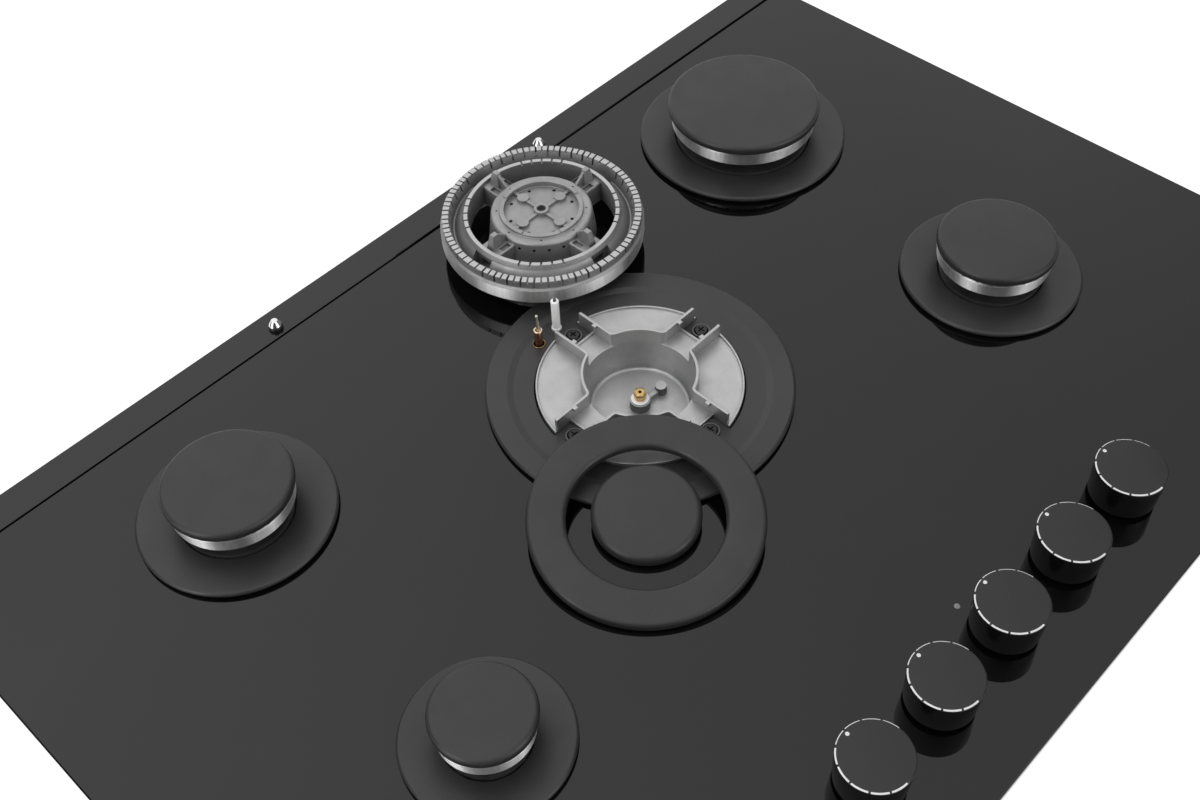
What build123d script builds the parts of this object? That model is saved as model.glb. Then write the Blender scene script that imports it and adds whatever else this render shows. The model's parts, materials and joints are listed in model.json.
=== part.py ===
from build123d import *
from dataclasses import dataclass
import math
import os

# Gas cooktop: a glass hob with five burners, the centre one taken apart.
# Millimetres. X runs along the width, Y to the back, Z up; Z = 0 is the underside of the box.

# ---------------------------------------------------------------- outer shell
HOB_W = 762.0              # whole width
HOB_D = 530.0              # whole depth, rear trim included
HOB_CORNER_R = 5.0         # plan radius of the glass's corners
OVERHANG_SIDE = 23.0       # glass past the walls of the burner box, left and right
OVERHANG_ENDS = 25.0       # and in front and behind
BOX_H = 52.0               # underside of the box to the underside of the glass
BOX_CORNER_R = 10.0
FLANGE_W = 16.0            # rim of the box on which the glass lies
SHEET_T = 1.0              # sheet steel of the box
GLASS_T = 6.0
GLASS_BEVEL = 0.8
TRIM_D = 22.6              # rear trim, front to back
TRIM_T = 1.5
TRIM_GAP = 1.2             # joint between the glass and the trim
GASKET_T = 3.0             # foam strip between the glass and the worktop
GASKET_INSET = 0.5
GASKET_GAP = 0.5           # between the strip and the flange
NOTCH_INSET = 53.0         # recess round the gas inlet: its middle from the box's right wall
NOTCH_W = 70.0
NOTCH_D = 28.0
NOTCH_CORNER_R = 3.0
BRACKET_HOLE_R = 2.1       # holes for the worktop clamps
BRACKET_INSET_SIDE = 38.0  # from the box's walls
BRACKET_INSET_ENDS = 40.0

# ---------------------------------------------------------------- studs on the rear trim
STUD_X = 118.5             # either side of the centreline
STUD_BACK = 7.5            # stud axis behind the front edge of the trim
STUD_R = 4.3
STUD_TOP_R = 2.1
STUD_H = 4.2
STUD_PIN_R = 1.5
STUD_PIN_L = 5.5
STUD_WASHER_R = 4.7
STUD_WASHER_H = 2.4
STUD_CLEARANCE = 0.1

# ---------------------------------------------------------------- places of the burners
CENTRE = (1.0, 43.9)
SIDE_INSET = 134.3         # side burners from the box's side walls
REAR_INSET = 90.1          # rear row from the box's back wall
FRONT_INSET = 181.6        # front row from the box's front wall

# ---------------------------------------------------------------- dishes; heights above the glass
DISH_RIM_H = 4.4           # raised outer band
DISH_FLOOR_H = 3.3         # at the opening
DISH_WIDEST_H = 2.7
DISH_UNDERCUT = 2.0        # the edge draws in by this at the glass
DISH_ROUND = 1.8           # and by this at the top of the band
CENTRE_BAND_W = 14.0       # the centre dish has a level band, then a soft step down
CENTRE_STEP_W = 4.0
DISH_GAP = 0.8             # round the cup that stands in the dish's opening
HOLE_MARGIN = 4.7          # hole in the glass, past the axes of the electrodes

# ---------------------------------------------------------------- centre burner
CENTRE_DISH_R = 95.0
TRAY_R = 63.5              # lobed tray round the bowl
TRAY_H = 4.0               # floor of the tray above the glass
TRAY_T = 2.0
TRAY_RIM_H = 5.0
TRAY_RIM_T = 1.2
BOWL_R = 34.0
BOWL_FLOOR_R = 31.3
BOWL_DEPTH = 18.7          # bowl floor below the glass's surface
BOWL_T = 1.8
BOWL_FLOOR_T = 2.5
BOWL_FILLET_R = 4.0
CHANNEL_HALF = 9.8         # half width of the four channels
CHANNEL_FLOOR_R = 50.0     # the channel's floor ends here, where the dish's tab starts
WALL_T = 1.8
WALL_H = 14.1              # top of the walls above the glass
WALL_TIP_R = 61.0
LOBE_CORNER_R = 4.0
EAR_DEPTH = 7.0            # ears under the channels
EAR_END_R = 63.0
TAB_CLEARANCE = 0.3
TAB_CORNER_R = 3.0
TAB_GAP = 0.4              # between the tab's end and the channel's floor
LUG_W = 2.0                # small lugs inside the channel's mouth
LUG_L = 3.0
LUG_H = 2.0
LUG_R = 48.0
LIP_W = 1.6                # low lip across the end of each channel's floor
LIP_H = 0.9
DOWEL_R = 3.75             # second boss on the bowl's floor
DOWEL_AT = (17.5, -1.5)
DOWEL_TOP = 12.5           # below the glass's surface
RIB_W = 3.0
RIB_TOP = 15.0

# ---------------------------------------------------------------- screws
SCREW_RING_R = 56.6        # screws of the centre dish
SCREW_HEAD_R = 4.2
SCREW_HEAD_TOP = 6.0
SCREW_R = 1.9
SCREW_HOLE_R = 2.2
SCREW_REACH = 6.5          # below the glass's surface
BOSS_R = 5.8               # ring round each head
BOSS_T = 1.2
BOSS_TOP = 5.0
CROSS_W = 0.9
CROSS_L = 4.8
CROSS_DEPTH = 1.3
BASE_SCREW_R = 1.7
BASE_SCREW_HEAD_R = 3.2
BASE_SCREW_HEAD_H = 2.0
BASE_SCREW_REACH = 3.0     # below the rail's top
BASE_SCREW_CLEARANCE = 0.2

# ---------------------------------------------------------------- injectors
INJECTOR_AF = 8.0
INJECTOR_H = 4.0
INJECTOR_BORE_R = 0.75
INJECTOR_SHANK_R = 2.5
INJECTOR_SHANK_L = 5.0
INJECTOR_CLEARANCE = 0.1
INJECTOR_WASHER_R = 5.9
INJECTOR_WASHER_T = 0.8
INJECTOR_BOSS_R = 6.4
INJECTOR_BOSS_TOP = 12.0   # below the glass's surface

# ---------------------------------------------------------------- electrodes and thermocouples
PROBE_OUT = 5.0            # their axes outside the small burners' bands
PROBE_SPREAD = 12.0        # degrees either side of their middle
PROBE_SEAT = 2.0           # carrying arm, below the glass's surface
PROBE_ARM_T = 5.0
PROBE_ARM_HALF = 5.0
PROBE_ARM_MARGIN = 4.0
PROBE_HOLE_R = 3.6         # hole in the dish
CERAMIC_R = 2.65
CERAMIC_FLANGE_R = 4.0
CERAMIC_FLANGE_H = 1.6
CERAMIC_COLLAR_R = 3.3
CERAMIC_COLLAR_H = 4.8
CERAMIC_TAIL = 14.0
CERAMIC_CLEARANCE = 0.2
TIP_R = 0.9
TIP_SEAT = 6.0
TIP_OUT = 3.0
COUPLE_R = 2.6
COUPLE_TAIL = 12.0
COUPLE_NUT_R = 3.3
COUPLE_RING_R = 2.9
COUPLE_RING_H = 1.2
NEEDLE_R = 0.8
COLLAR_R = 4.5
COLLAR_H = 2.0
COLLAR_CLEARANCE = 0.1

# ---------------------------------------------------------------- centre crown, standing loose
CROWN_OFFSET = (50.0, 133.0)   # from the centre burner
CROWN_BAND_LOW = 11.5      # above the foot of its drum, as are all its heights
CROWN_BAND_H = 10.3
CROWN_BAND_R = 67.0
CROWN_BAND_FOOT_R = 66.4
CROWN_FLOOR_T = 3.4
TEETH_OUT_R = 65.5
TEETH_IN_R = 61.0
TEETH_TOP = 28.7
TEETH_LEDGE_H = 1.3        # fall of the ledge outside the teeth
PAIRS_PER_QUADRANT = 9     # pairs of teeth between deep slots
PAIR_PITCH = 7.71          # degrees
SINGLES_PER_QUADRANT = 4   # single teeth over each arm
DEEP_SLOT_W = 1.2
DEEP_SLOT_LOW = 23.3
SHALLOW_SLOT_W = 1.0
SHALLOW_SLOT_LOW = 27.3
TROUGH_OUT_R = 58.8        # foot of the wall that carries the teeth
TROUGH_IN_R = 57.6
TROUGH_LOW = 20.0
SLOPE_TOP_R = 52.6         # the trough's inner side rises to here
SLOPE_TOP = 26.2
POCKET_W = 15.0            # pockets in the trough over the arms
POCKET_GAP = 0.2           # between a pocket and the trough's outer wall
INNER_RING_OUT_R = 51.1
INNER_RING_IN_R = 48.3
INNER_RING_TOP = 29.5
INNER_SLOTS = 5
INNER_SLOT_PITCH = 8.0     # degrees
INNER_SLOT_W = 1.2
INNER_SLOT_LOW = 27.8
ARM_W = 16.0
ARM_TOP = 27.0
DUCT_W = 9.0
DUCT_H = 6.5
RECESS_IN_R = 34.6         # recesses in an arm's top, either side of its fin
RECESS_OUT_R = 41.8
RECESS_W = 3.8
RECESS_SIDE = 3.2          # from the arm's middle
RECESS_H = 2.0
FIN_R = 42.0
FIN_FOOT = (10.0, 6.2)     # along and across the arm
FIN_TIP = (4.2, 3.4)
FIN_TOP = 37.5
FIN_WEB_T = 1.8            # web from the fin down to the drum
DRUM_TOP_R = 33.2
DRUM_R = 35.6
DRUM_TOP = 30.3
SPIGOT_R = 33.2            # the drum's foot
SPIGOT_T = 2.2
DRUM_HOLE_R = 0.9
DRUM_HOLES = 4             # per quadrant
DRUM_HOLE_PITCH = 16.5     # degrees
DRUM_HOLE_DROP = 5.1
LEDGE_HOLES = 8
LEDGE_HOLE_R = 0.6
LEDGE_HOLE_RING_R = 29.4
LEDGE_HOLE_DEPTH = 2.0
HUB_RING_OUT_R = 27.5
HUB_RING_IN_R = 24.6
HUB_RING_TOP = 32.5
HUB_RING_STEP = 0.7        # the ring is this much lower in places
HUB_RING_LOW_SPANS = ((110.7, 167.7), (197.7, 252.7), (284.7, 342.7))   # azimuths
HUB_PLATE_TOP = 28.4
HUB_PLATE_T = 2.5
HUB_RIB_W = 2.4
HUB_RIB_TOP = 30.0
PAD_RING_R = 17.0
PAD_R = 4.0
PAD_TOP = 30.6
HUB_BOSS_R = 4.9
HUB_BOSS_BORE_R = 3.0
HUB_BOSS_TOP = 31.3
HUB_HOLE_R = 1.15
HUB_HOLE_RING_R = 21.6
HUB_HOLES = 8

# ---------------------------------------------------------------- loose caps of the centre burner
RING_CAP_OFFSET = (-74.9, -73.7)
RING_CAP_R = 67.4
RING_CAP_HOLE_R = 44.8
RING_CAP_T = 6.2
RING_CAP_EDGE_R = 1.4
RING_CAP_TOP_R = 3.0
RING_CAP_RECESS = (53.0, 60.0)   # radii of the shallow groove under it
RING_CAP_RECESS_H = 1.0
INNER_CAP_OFFSET = (-71.0, -70.5)
INNER_CAP_R = 31.5
INNER_CAP_T = 8.0
INNER_CAP_EDGE_R = 2.2
INNER_CAP_TOP_R = 4.2
REST_GAP = 0.3             # hair between a loose piece and what it rests on

# ---------------------------------------------------------------- small burners; heights above the glass
CAP_LOW = 25.6
CAP_T = 6.0
CAP_TOP_R = 4.4
CAP_EDGE_R = 1.0
CAP_SKIRT_H = 2.2
CAP_SKIRT_T = 2.0
CAP_SKIRT_GAP = 0.5
BAND_LOW = 11.5
BAND_DRAFT = 1.4           # the band is this much slimmer at its foot
BAND_T = 4.5
FLAME_SLOT_W = 2.0
FLAME_SLOT_H = 1.4
CROWN_SEAT_H = 8.0         # the crown sits on the bowl's edge here
CROWN_FLOOR = 3.0
DRUM_DEPTH = 6.0           # the drum reaches this far below the glass's surface
DRUM_WALL_T = 2.0
SMALL_BOWL_T = 2.2
SMALL_BOWL_GAP = 0.4
SMALL_BOWL_DEPTH = 18.0
SMALL_FLOOR_T = 4.0
SMALL_TRAY_IN = 4.0        # the tray is this much smaller than the band
BASE_R = 14.0
BASE_EAR_X = 21.0
BASE_EAR_HALF = 26.0
BASE_EAR_W = 12.0
BASE_EAR_T = 4.0
INLET_FACE = 19.0          # flat where the gas tube ends, in front of the burner's axis
AUXILIARY_CAP_R = 28.5     # the three sizes of small burner
AUXILIARY_BAND_R = 27.2
AUXILIARY_DISH_R = 47.0
AUXILIARY_DRUM_R = 13.0
SEMI_RAPID_CAP_R = 38.1
SEMI_RAPID_BAND_R = 36.8
SEMI_RAPID_DISH_R = 58.6
SEMI_RAPID_DRUM_R = 18.0
RAPID_CAP_R = 53.0
RAPID_BAND_R = 51.0
RAPID_DISH_R = 73.0
RAPID_DRUM_R = 26.0
INLET_HALF = 5.0

# ---------------------------------------------------------------- gas supply; heights above the underside
RAIL_TOP = 26.0            # folded rails that carry the cups
RAIL_W = 44.0
RAIL_FOOT = 8.0
RAIL_T = 1.2
RAIL_END_GAP = 58.0        # from the long rails' ends to the box's side walls
SHORT_RAIL_LENGTH = 150.0
TUBE_R = 3.0
TUBE_Z = 32.0
TUBE_BEND_R = 14.0
TUBE_LEAD_FRONT = 47.2     # from a knob's axis back to its tube's first bend: front burners
TUBE_LEAD_REAR = 72.2
TUBE_LEAD_CENTRE = 92.2
TUBE_TAIL_FRONT = 61.6     # from a tube's last bend back to the burner's axis
TUBE_TAIL_REAR = 54.9
TUBE_TAIL_CENTRE = 118.9
TUBE_LANE_X = 140.0        # rear tubes pass between the burners here
TUBE_LANE_END = 60.0
GAS_RAIL_R = 6.0
GAS_RAIL_Z = 24.0
GAS_RAIL_FRONT = 17.0      # in front of the knobs' axes
GAS_RAIL_REACH = 150.0     # from the middle knob to either end
GAS_RAIL_FOOT_T = 6.0
SUPPLY_R = 5.0
SUPPLY_INSET = 26.0        # supply tube from the box's right wall
SUPPLY_JOG = 30.0          # run in which it moves over behind the inlet
SUPPLY_BEND_R = 20.0
INLET_THREAD_R = 10.48
INLET_THREAD_L = 16.0
INLET_HEX_AF = 27.0
INLET_HEX_T = 6.0
INLET_NECK_R = 9.0
INLET_NUT_R = 14.0
INLET_NUT_T = 6.0
INLET_CLEARANCE = 0.3

# ---------------------------------------------------------------- valves and knobs
KNOB_MIDDLE_X = 7.4
KNOB_INSET = 27.8          # knobs' axes from the box's front wall
KNOB_PITCH = 58.7
KNOB_R = 20.0              # at the top
KNOB_FOOT_R = 19.0
KNOB_TOP = 25.0            # above the glass
KNOB_FOOT = 3.0            # room for the knob to be pressed
KNOB_EDGE_R = 0.8
KNOB_WALL_T = 2.2
KNOB_ROOF_T = 3.0
KNOB_HUB_R = 5.6
KNOB_HUB_FOOT = 4.5
STEM_R = 3.0
STEM_FLAT = 2.0            # the flat of the stem, from its axis
STEM_TOP = 20.0            # above the glass
STEM_FOOT = 31.0           # above the box's underside
FIT = 0.05                 # running fit of stem and plug
PLUG_R = 5.95
PLUG_LOW = 16.0
PLUG_TOP = 40.0
PLUG_SOCKET_LOW = 28.0
PLUG_PORT_R = 1.5
VALVE_HALF_W = 11.0
VALVE_BACK = 14.0          # behind the stem's axis
VALVE_LOW = 14.0
VALVE_TOP = 42.0
SADDLE_HALF = 8.5
NIPPLE_R = 4.5
NIPPLE_END = 20.0
VALVE_COVER_T = 1.5
VALVE_COVER_HOLE_R = 3.6
SEAL_R = 8.9
SEAL_LIP_R = 12.0
SEAL_LIP_T = 1.0
SEAL_BORE_R = 3.4
SEAL_GAP = 0.1

# ---------------------------------------------------------------- electrics
IGNITER_SIZE = (76.0, 40.0, 26.0)
IGNITER_X = -82.0
IGNITER_INSET = 32.0       # its middle from the box's back wall
IGNITER_ROUND = 3.0
TERMINAL_R = 2.2
TERMINAL_H = 5.0
TERMINAL_PITCH = 13.0
GLAND_INSET = 108.0        # from the box's left wall
GLAND_Z = 26.0
GLAND_R = 6.0
GLAND_NUT_R = 9.0
GLAND_NUT_T = 7.0
GLAND_BORE_R = 3.6
GLAND_CLEARANCE = 0.2

# ---------------------------------------------------------------- sizes that follow
BOX_W = HOB_W - 2 * OVERHANG_SIDE
BOX_D = HOB_D - 2 * OVERHANG_ENDS
GLASS_TOP = BOX_H + GLASS_T
TRIM_FRONT = HOB_D / 2 - TRIM_D
GLASS_BACK = TRIM_FRONT - TRIM_GAP
NOTCH_X = BOX_W / 2 - NOTCH_INSET
NOTCH_Y = BOX_D / 2 - NOTCH_D
SIDE_X = BOX_W / 2 - SIDE_INSET
REAR_Y = BOX_D / 2 - REAR_INSET
FRONT_Y = FRONT_INSET - BOX_D / 2
REAR_LEFT = (-SIDE_X, REAR_Y)
REAR_RIGHT = (SIDE_X, REAR_Y)
FRONT_RIGHT = (SIDE_X, FRONT_Y)
FRONT_LEFT = (-SIDE_X, FRONT_Y)
KNOB_MIDDLE = (KNOB_MIDDLE_X, KNOB_INSET - BOX_D / 2)
SUPPLY_X = BOX_W / 2 - SUPPLY_INSET
WALL_OUT = CHANNEL_HALF + WALL_T
BASE_Z = RAIL_TOP - GLASS_TOP
INLET_Z = TUBE_Z - GLASS_TOP
GAS_RAIL_Y = KNOB_MIDDLE[1] - GAS_RAIL_FRONT
FOREVER = 200.0            # length of a cutter that only has to pass right through


@dataclass
class Burner:
    """One small burner and the sizes that are its own."""

    place: tuple
    cap_r: float
    band_r: float
    dish_r: float
    drum_r: float
    slots: int
    probe_azimuth: float

    @property
    def tray_r(self):
        return self.band_r - SMALL_TRAY_IN

    @property
    def bowl_r(self):
        return self.drum_r + SMALL_BOWL_GAP

    @property
    def bowl_out_r(self):
        return self.bowl_r + SMALL_BOWL_T

    @property
    def probe_r(self):
        return self.band_r + PROBE_OUT

    @property
    def hole_r(self):
        return self.probe_r + HOLE_MARGIN

    def dish_height(self, radius):
        """Height of the dish's surface at a radius."""
        opening_r = self.tray_r + DISH_GAP
        share = (radius - opening_r) / (self.dish_r - DISH_ROUND - opening_r)
        return DISH_FLOOR_H + (DISH_RIM_H - DISH_FLOOR_H) * share

    def electrode(self):
        return polar(self.probe_r, self.probe_azimuth - PROBE_SPREAD)

    def thermocouple(self):
        return polar(self.probe_r, self.probe_azimuth + PROBE_SPREAD)


def polar(radius, azimuth):
    """The point at a radius and an azimuth in degrees."""
    turn = math.radians(azimuth)
    return (radius * math.cos(turn), radius * math.sin(turn))


# Radii of cap, band, dish and drum, and the number of flame slots.
AUXILIARY = (AUXILIARY_CAP_R, AUXILIARY_BAND_R, AUXILIARY_DISH_R, AUXILIARY_DRUM_R, 18)
SEMI_RAPID = (SEMI_RAPID_CAP_R, SEMI_RAPID_BAND_R, SEMI_RAPID_DISH_R, SEMI_RAPID_DRUM_R, 24)
RAPID = (RAPID_CAP_R, RAPID_BAND_R, RAPID_DISH_R, RAPID_DRUM_R, 36)
BURNERS = {
    "rear_left": Burner(REAR_LEFT, *SEMI_RAPID, 69.0),
    "rear_right": Burner(REAR_RIGHT, *RAPID, 38.0),
    "front_right": Burner(FRONT_RIGHT, *SEMI_RAPID, 24.0),
    "front_left": Burner(FRONT_LEFT, *AUXILIARY, 57.0),
}
CENTRE_ELECTRODE = (-1.3, 70.1)
CENTRE_THERMOCOUPLE = (-18.4, 68.6)
CENTRE_HOLE_R = math.hypot(*CENTRE_THERMOCOUPLE) + HOLE_MARGIN
CENTRE_PROBE_TOPS = (29.8, 16.0, 29.0)   # ceramic, thermocouple body and needle
SMALL_PROBE_TOPS = (20.0, 12.0, 23.0)

KNOB_NAMES = ("front_left", "rear_left", "centre", "rear_right", "front_right")
KNOBS = {
    name: (KNOB_MIDDLE[0] + (index - 2) * KNOB_PITCH, KNOB_MIDDLE[1])
    for index, name in enumerate(KNOB_NAMES)
}


# ---------------------------------------------------------------- helpers
def turned(points, radii=0.0):
    """A solid turned about Z from an outline of (radius, height) points."""
    outline = FilletPolyline(*points, radius=radii, close=True)
    return revolve(Plane.XZ * make_face(outline), Axis.Z)


def block(x_span, y_span, z_span):
    """A block from its spans along the three axes."""
    spans = (x_span, y_span, z_span)
    middle = [(low + high) / 2 for low, high in spans]
    return Pos(*middle) * Box(*[high - low for low, high in spans])


def rod(radius, z_span, at=(0.0, 0.0)):
    """An upright cylinder."""
    low, high = z_span
    return Pos(at[0], at[1], (low + high) / 2) * Cylinder(radius, high - low)


def hexagon(across_flats, z_span):
    """An upright hexagonal bar."""
    low, high = z_span
    section = RegularPolygon(across_flats / 2, 6, major_radius=False)
    return Pos(0, 0, low) * extrude(section, high - low)


def plate(width, depth, corner_r, z_span):
    """A flat plate with rounded corners."""
    low, high = z_span
    return Pos(0, 0, low) * extrude(RectangleRounded(width, depth, corner_r), high - low)


def backwards(piece, at):
    """A piece made along +Z, laid along +Y with its foot at a point."""
    return Pos(*at) * Rot(-90, 0, 0) * piece


def quarters(piece):
    """Four copies of a piece about Z."""
    return [Rot(0, 0, 90 * turn) * piece for turn in range(4)]


def on_glass(place, piece):
    """A piece drawn with Z = 0 on the glass, set at its place on the hob."""
    return Pos(place[0], place[1], GLASS_TOP) * piece


def group(pieces):
    """Separate solids kept together."""
    return Compound(children=list(pieces))


# ---------------------------------------------------------------- shell
def glass_top():
    depth = GLASS_BACK + HOB_D / 2
    glass = plate(HOB_W, depth, HOB_CORNER_R, (BOX_H, GLASS_TOP))
    glass = chamfer(glass.faces().sort_by(Axis.Z)[-1].edges(), GLASS_BEVEL)
    glass = Pos(0, (GLASS_BACK - HOB_D / 2) / 2, 0) * glass
    through = (BOX_H - GLASS_T, GLASS_TOP + GLASS_T)
    holes = [rod(burner.hole_r, through, burner.place) for burner in BURNERS.values()]
    holes.append(rod(CENTRE_HOLE_R, through, CENTRE))
    holes += [rod(SEAL_R + SEAL_GAP, through, place) for place in KNOBS.values()]
    return glass - holes


def rear_trim():
    span_x = (-HOB_W / 2, HOB_W / 2)
    trim = block(span_x, (TRIM_FRONT, HOB_D / 2), (BOX_H, GLASS_TOP))
    trim = chamfer(trim.faces().sort_by(Axis.Z)[-1].edges(), TRIM_T / 3)
    hollow = block(
        (-HOB_W / 2 + TRIM_T, HOB_W / 2 - TRIM_T),
        (TRIM_FRONT + TRIM_T, HOB_D / 2 - TRIM_T),
        (BOX_H - TRIM_T, GLASS_TOP - TRIM_T),
    )
    pins = [rod(STUD_PIN_R + STUD_CLEARANCE, (BOX_H, GLASS_TOP + 1), at) for at in stud_places()]
    return trim - hollow - pins


def stud_places():
    return [(side * STUD_X, TRIM_FRONT + STUD_BACK) for side in (-1, 1)]


def trim_stud(at):
    """A chromed cone on a black washer, pinned through the trim."""
    foot = GLASS_TOP + STUD_WASHER_H
    points = [
        (0, foot),
        (STUD_R, foot),
        (STUD_R, foot + STUD_H / 5),
        (STUD_TOP_R, foot + STUD_H),
        (0, foot + STUD_H),
    ]
    head = turned(points, [0, 0, STUD_H / 10, STUD_H / 8, 0])
    pin = rod(STUD_PIN_R, (GLASS_TOP - STUD_PIN_L + STUD_WASHER_H, foot))
    return Pos(at[0], at[1], 0) * (head + pin)


def stud_washer(at):
    foot = GLASS_TOP
    points = [
        (STUD_PIN_R + STUD_CLEARANCE, foot),
        (STUD_WASHER_R, foot),
        (STUD_WASHER_R, foot + STUD_WASHER_H),
        (STUD_PIN_R + STUD_CLEARANCE, foot + STUD_WASHER_H),
    ]
    return Pos(at[0], at[1], 0) * turned(points, [0, 0, STUD_WASHER_H / 4, 0])


def box_plan(inset):
    """Plan of the burner box, with the recess for the gas inlet in its back wall."""
    half_w = BOX_W / 2 - inset
    half_d = BOX_D / 2 - inset
    left = NOTCH_X - NOTCH_W / 2 - inset
    right = NOTCH_X + NOTCH_W / 2 + inset
    front = NOTCH_Y - inset
    corner = BOX_CORNER_R - inset
    points = [
        (-half_w, -half_d),
        (half_w, -half_d),
        (half_w, half_d),
        (right, half_d),
        (right, front),
        (left, front),
        (left, half_d),
        (-half_w, half_d),
    ]
    notch = NOTCH_CORNER_R
    radii = [corner, corner, corner, notch, notch, notch, notch, corner]
    return make_face(FilletPolyline(*points, radius=radii, close=True))


def burner_box():
    shell = extrude(box_plan(0), BOX_H - SHEET_T)
    flange = plate(
        BOX_W + 2 * FLANGE_W,
        BOX_D + 2 * FLANGE_W,
        BOX_CORNER_R,
        (BOX_H - SHEET_T, BOX_H),
    )
    room = Pos(0, 0, SHEET_T) * extrude(box_plan(SHEET_T), BOX_H)
    box = shell + flange - room
    for place in bracket_places():
        box -= rod(BRACKET_HOLE_R, (-SHEET_T, 2 * SHEET_T), place)
    neck = backwards(Cylinder(INLET_NECK_R + INLET_CLEARANCE, 4 * SHEET_T), (NOTCH_X, NOTCH_Y, GAS_RAIL_Z))
    gland_at = (GLAND_INSET - BOX_W / 2, BOX_D / 2, GLAND_Z)
    gland = backwards(Cylinder(GLAND_R + GLAND_CLEARANCE, 4 * SHEET_T), gland_at)
    return box - [neck, gland]


def bracket_places():
    return [
        (side_x * (BOX_W / 2 - BRACKET_INSET_SIDE), side_y * (BOX_D / 2 - BRACKET_INSET_ENDS))
        for side_x in (-1, 1)
        for side_y in (-1, 1)
    ]


def worktop_gasket():
    span = (BOX_H - GASKET_T, BOX_H)
    outer = plate(HOB_W - 2 * GASKET_INSET, HOB_D - 2 * GASKET_INSET, HOB_CORNER_R, span)
    inner_w = BOX_W + 2 * (FLANGE_W + GASKET_GAP)
    inner_d = BOX_D + 2 * (FLANGE_W + GASKET_GAP)
    inner = plate(inner_w, inner_d, BOX_CORNER_R, (BOX_H - 2 * GASKET_T, BOX_H + GASKET_T))
    return outer - inner


# ---------------------------------------------------------------- dishes
def dish_ring(outer_r, opening_r, level=()):
    """A dish's ring: rounded edge, then down to the opening, past any (radius, height) points."""
    points = [
        (opening_r, 0),
        (outer_r - DISH_UNDERCUT, 0),
        (outer_r, DISH_WIDEST_H),
        (outer_r - DISH_ROUND, DISH_RIM_H),
        *level,
        (opening_r, DISH_FLOOR_H),
    ]
    return turned(points, [0, 0.8, 1.5, 1.2, *[CENTRE_STEP_W / 3] * len(level), 0.6])


def probe_holes(places):
    return [rod(PROBE_HOLE_R, (-DISH_RIM_H, 2 * DISH_RIM_H), at) for at in places]


def small_dish(burner):
    ring = dish_ring(burner.dish_r, burner.tray_r + DISH_GAP)
    ring -= probe_holes([burner.electrode(), burner.thermocouple()])
    return on_glass(burner.place, ring)


def dish_tab():
    """A tab of the centre dish that reaches into a channel and takes a screw."""
    half = CHANNEL_HALF - TAB_CLEARANCE
    root_r = TRAY_R + 2 * DISH_GAP
    points = [
        (CHANNEL_FLOOR_R + TAB_GAP, -half),
        (root_r, -half),
        (root_r, half),
        (CHANNEL_FLOOR_R + TAB_GAP, half),
    ]
    outline = FilletPolyline(*points, radius=[TAB_CORNER_R, 0, 0, TAB_CORNER_R], close=True)
    tab = extrude(make_face(outline), DISH_FLOOR_H)
    at = (SCREW_RING_R, 0)
    tab += rod(BOSS_R, (0, BOSS_TOP), at)
    tab -= rod(BOSS_R - BOSS_T, (DISH_FLOOR_H, 2 * BOSS_TOP), at)
    return tab - rod(SCREW_HOLE_R, (-BOSS_TOP, BOSS_TOP), at)


def centre_dish():
    step_r = CENTRE_DISH_R - CENTRE_BAND_W
    step = ((step_r, DISH_RIM_H), (step_r - CENTRE_STEP_W, DISH_FLOOR_H))
    ring = dish_ring(CENTRE_DISH_R, TRAY_R + DISH_GAP, step) + quarters(dish_tab())
    ring -= probe_holes([CENTRE_ELECTRODE, CENTRE_THERMOCOUPLE])
    return on_glass(CENTRE, ring)


# ---------------------------------------------------------------- cups
def cup_foot(boss_low):
    """Foot of a cup: base, screw ears and the flat where the gas tube ends."""
    foot = rod(BASE_R, (BASE_Z, boss_low))
    ears = block(
        (-BASE_EAR_HALF, BASE_EAR_HALF),
        (-BASE_EAR_W / 2, BASE_EAR_W / 2),
        (BASE_Z, BASE_Z + BASE_EAR_T),
    )
    inlet = block(
        (-INLET_HALF, INLET_HALF),
        (-INLET_FACE, 0),
        (INLET_Z - INLET_HALF, INLET_Z + INLET_HALF),
    )
    foot = foot + ears + inlet
    hole_r = BASE_SCREW_R + BASE_SCREW_CLEARANCE
    span = (BASE_Z - BASE_EAR_T, BASE_Z + 2 * BASE_EAR_T)
    return foot - [rod(hole_r, span, (side * BASE_EAR_X, 0)) for side in (-1, 1)]


def injector_boss(floor_z):
    boss = rod(INJECTOR_BOSS_R, (floor_z - BOWL_T, -INJECTOR_BOSS_TOP))
    seat_r = INJECTOR_SHANK_R + INJECTOR_CLEARANCE
    seat = rod(seat_r, (-INJECTOR_BOSS_TOP - INJECTOR_SHANK_L - 1, -INJECTOR_BOSS_TOP + 1))
    return boss, seat


def probe_arm(start_r, at):
    """An arm under the dish that carries an electrode or a thermocouple."""
    reach = math.hypot(*at)
    azimuth = math.degrees(math.atan2(at[1], at[0]))
    arm = block(
        (start_r, reach + PROBE_ARM_MARGIN),
        (-PROBE_ARM_HALF, PROBE_ARM_HALF),
        (-PROBE_SEAT - PROBE_ARM_T, -PROBE_SEAT),
    )
    arm = fillet(arm.edges().filter_by(Axis.Z).sort_by(Axis.X)[-2:], PROBE_ARM_HALF / 2)
    hole = rod(CERAMIC_R + CERAMIC_CLEARANCE, (-FOREVER, FOREVER), (reach, 0))
    return Rot(0, 0, azimuth) * (arm - hole)


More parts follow.
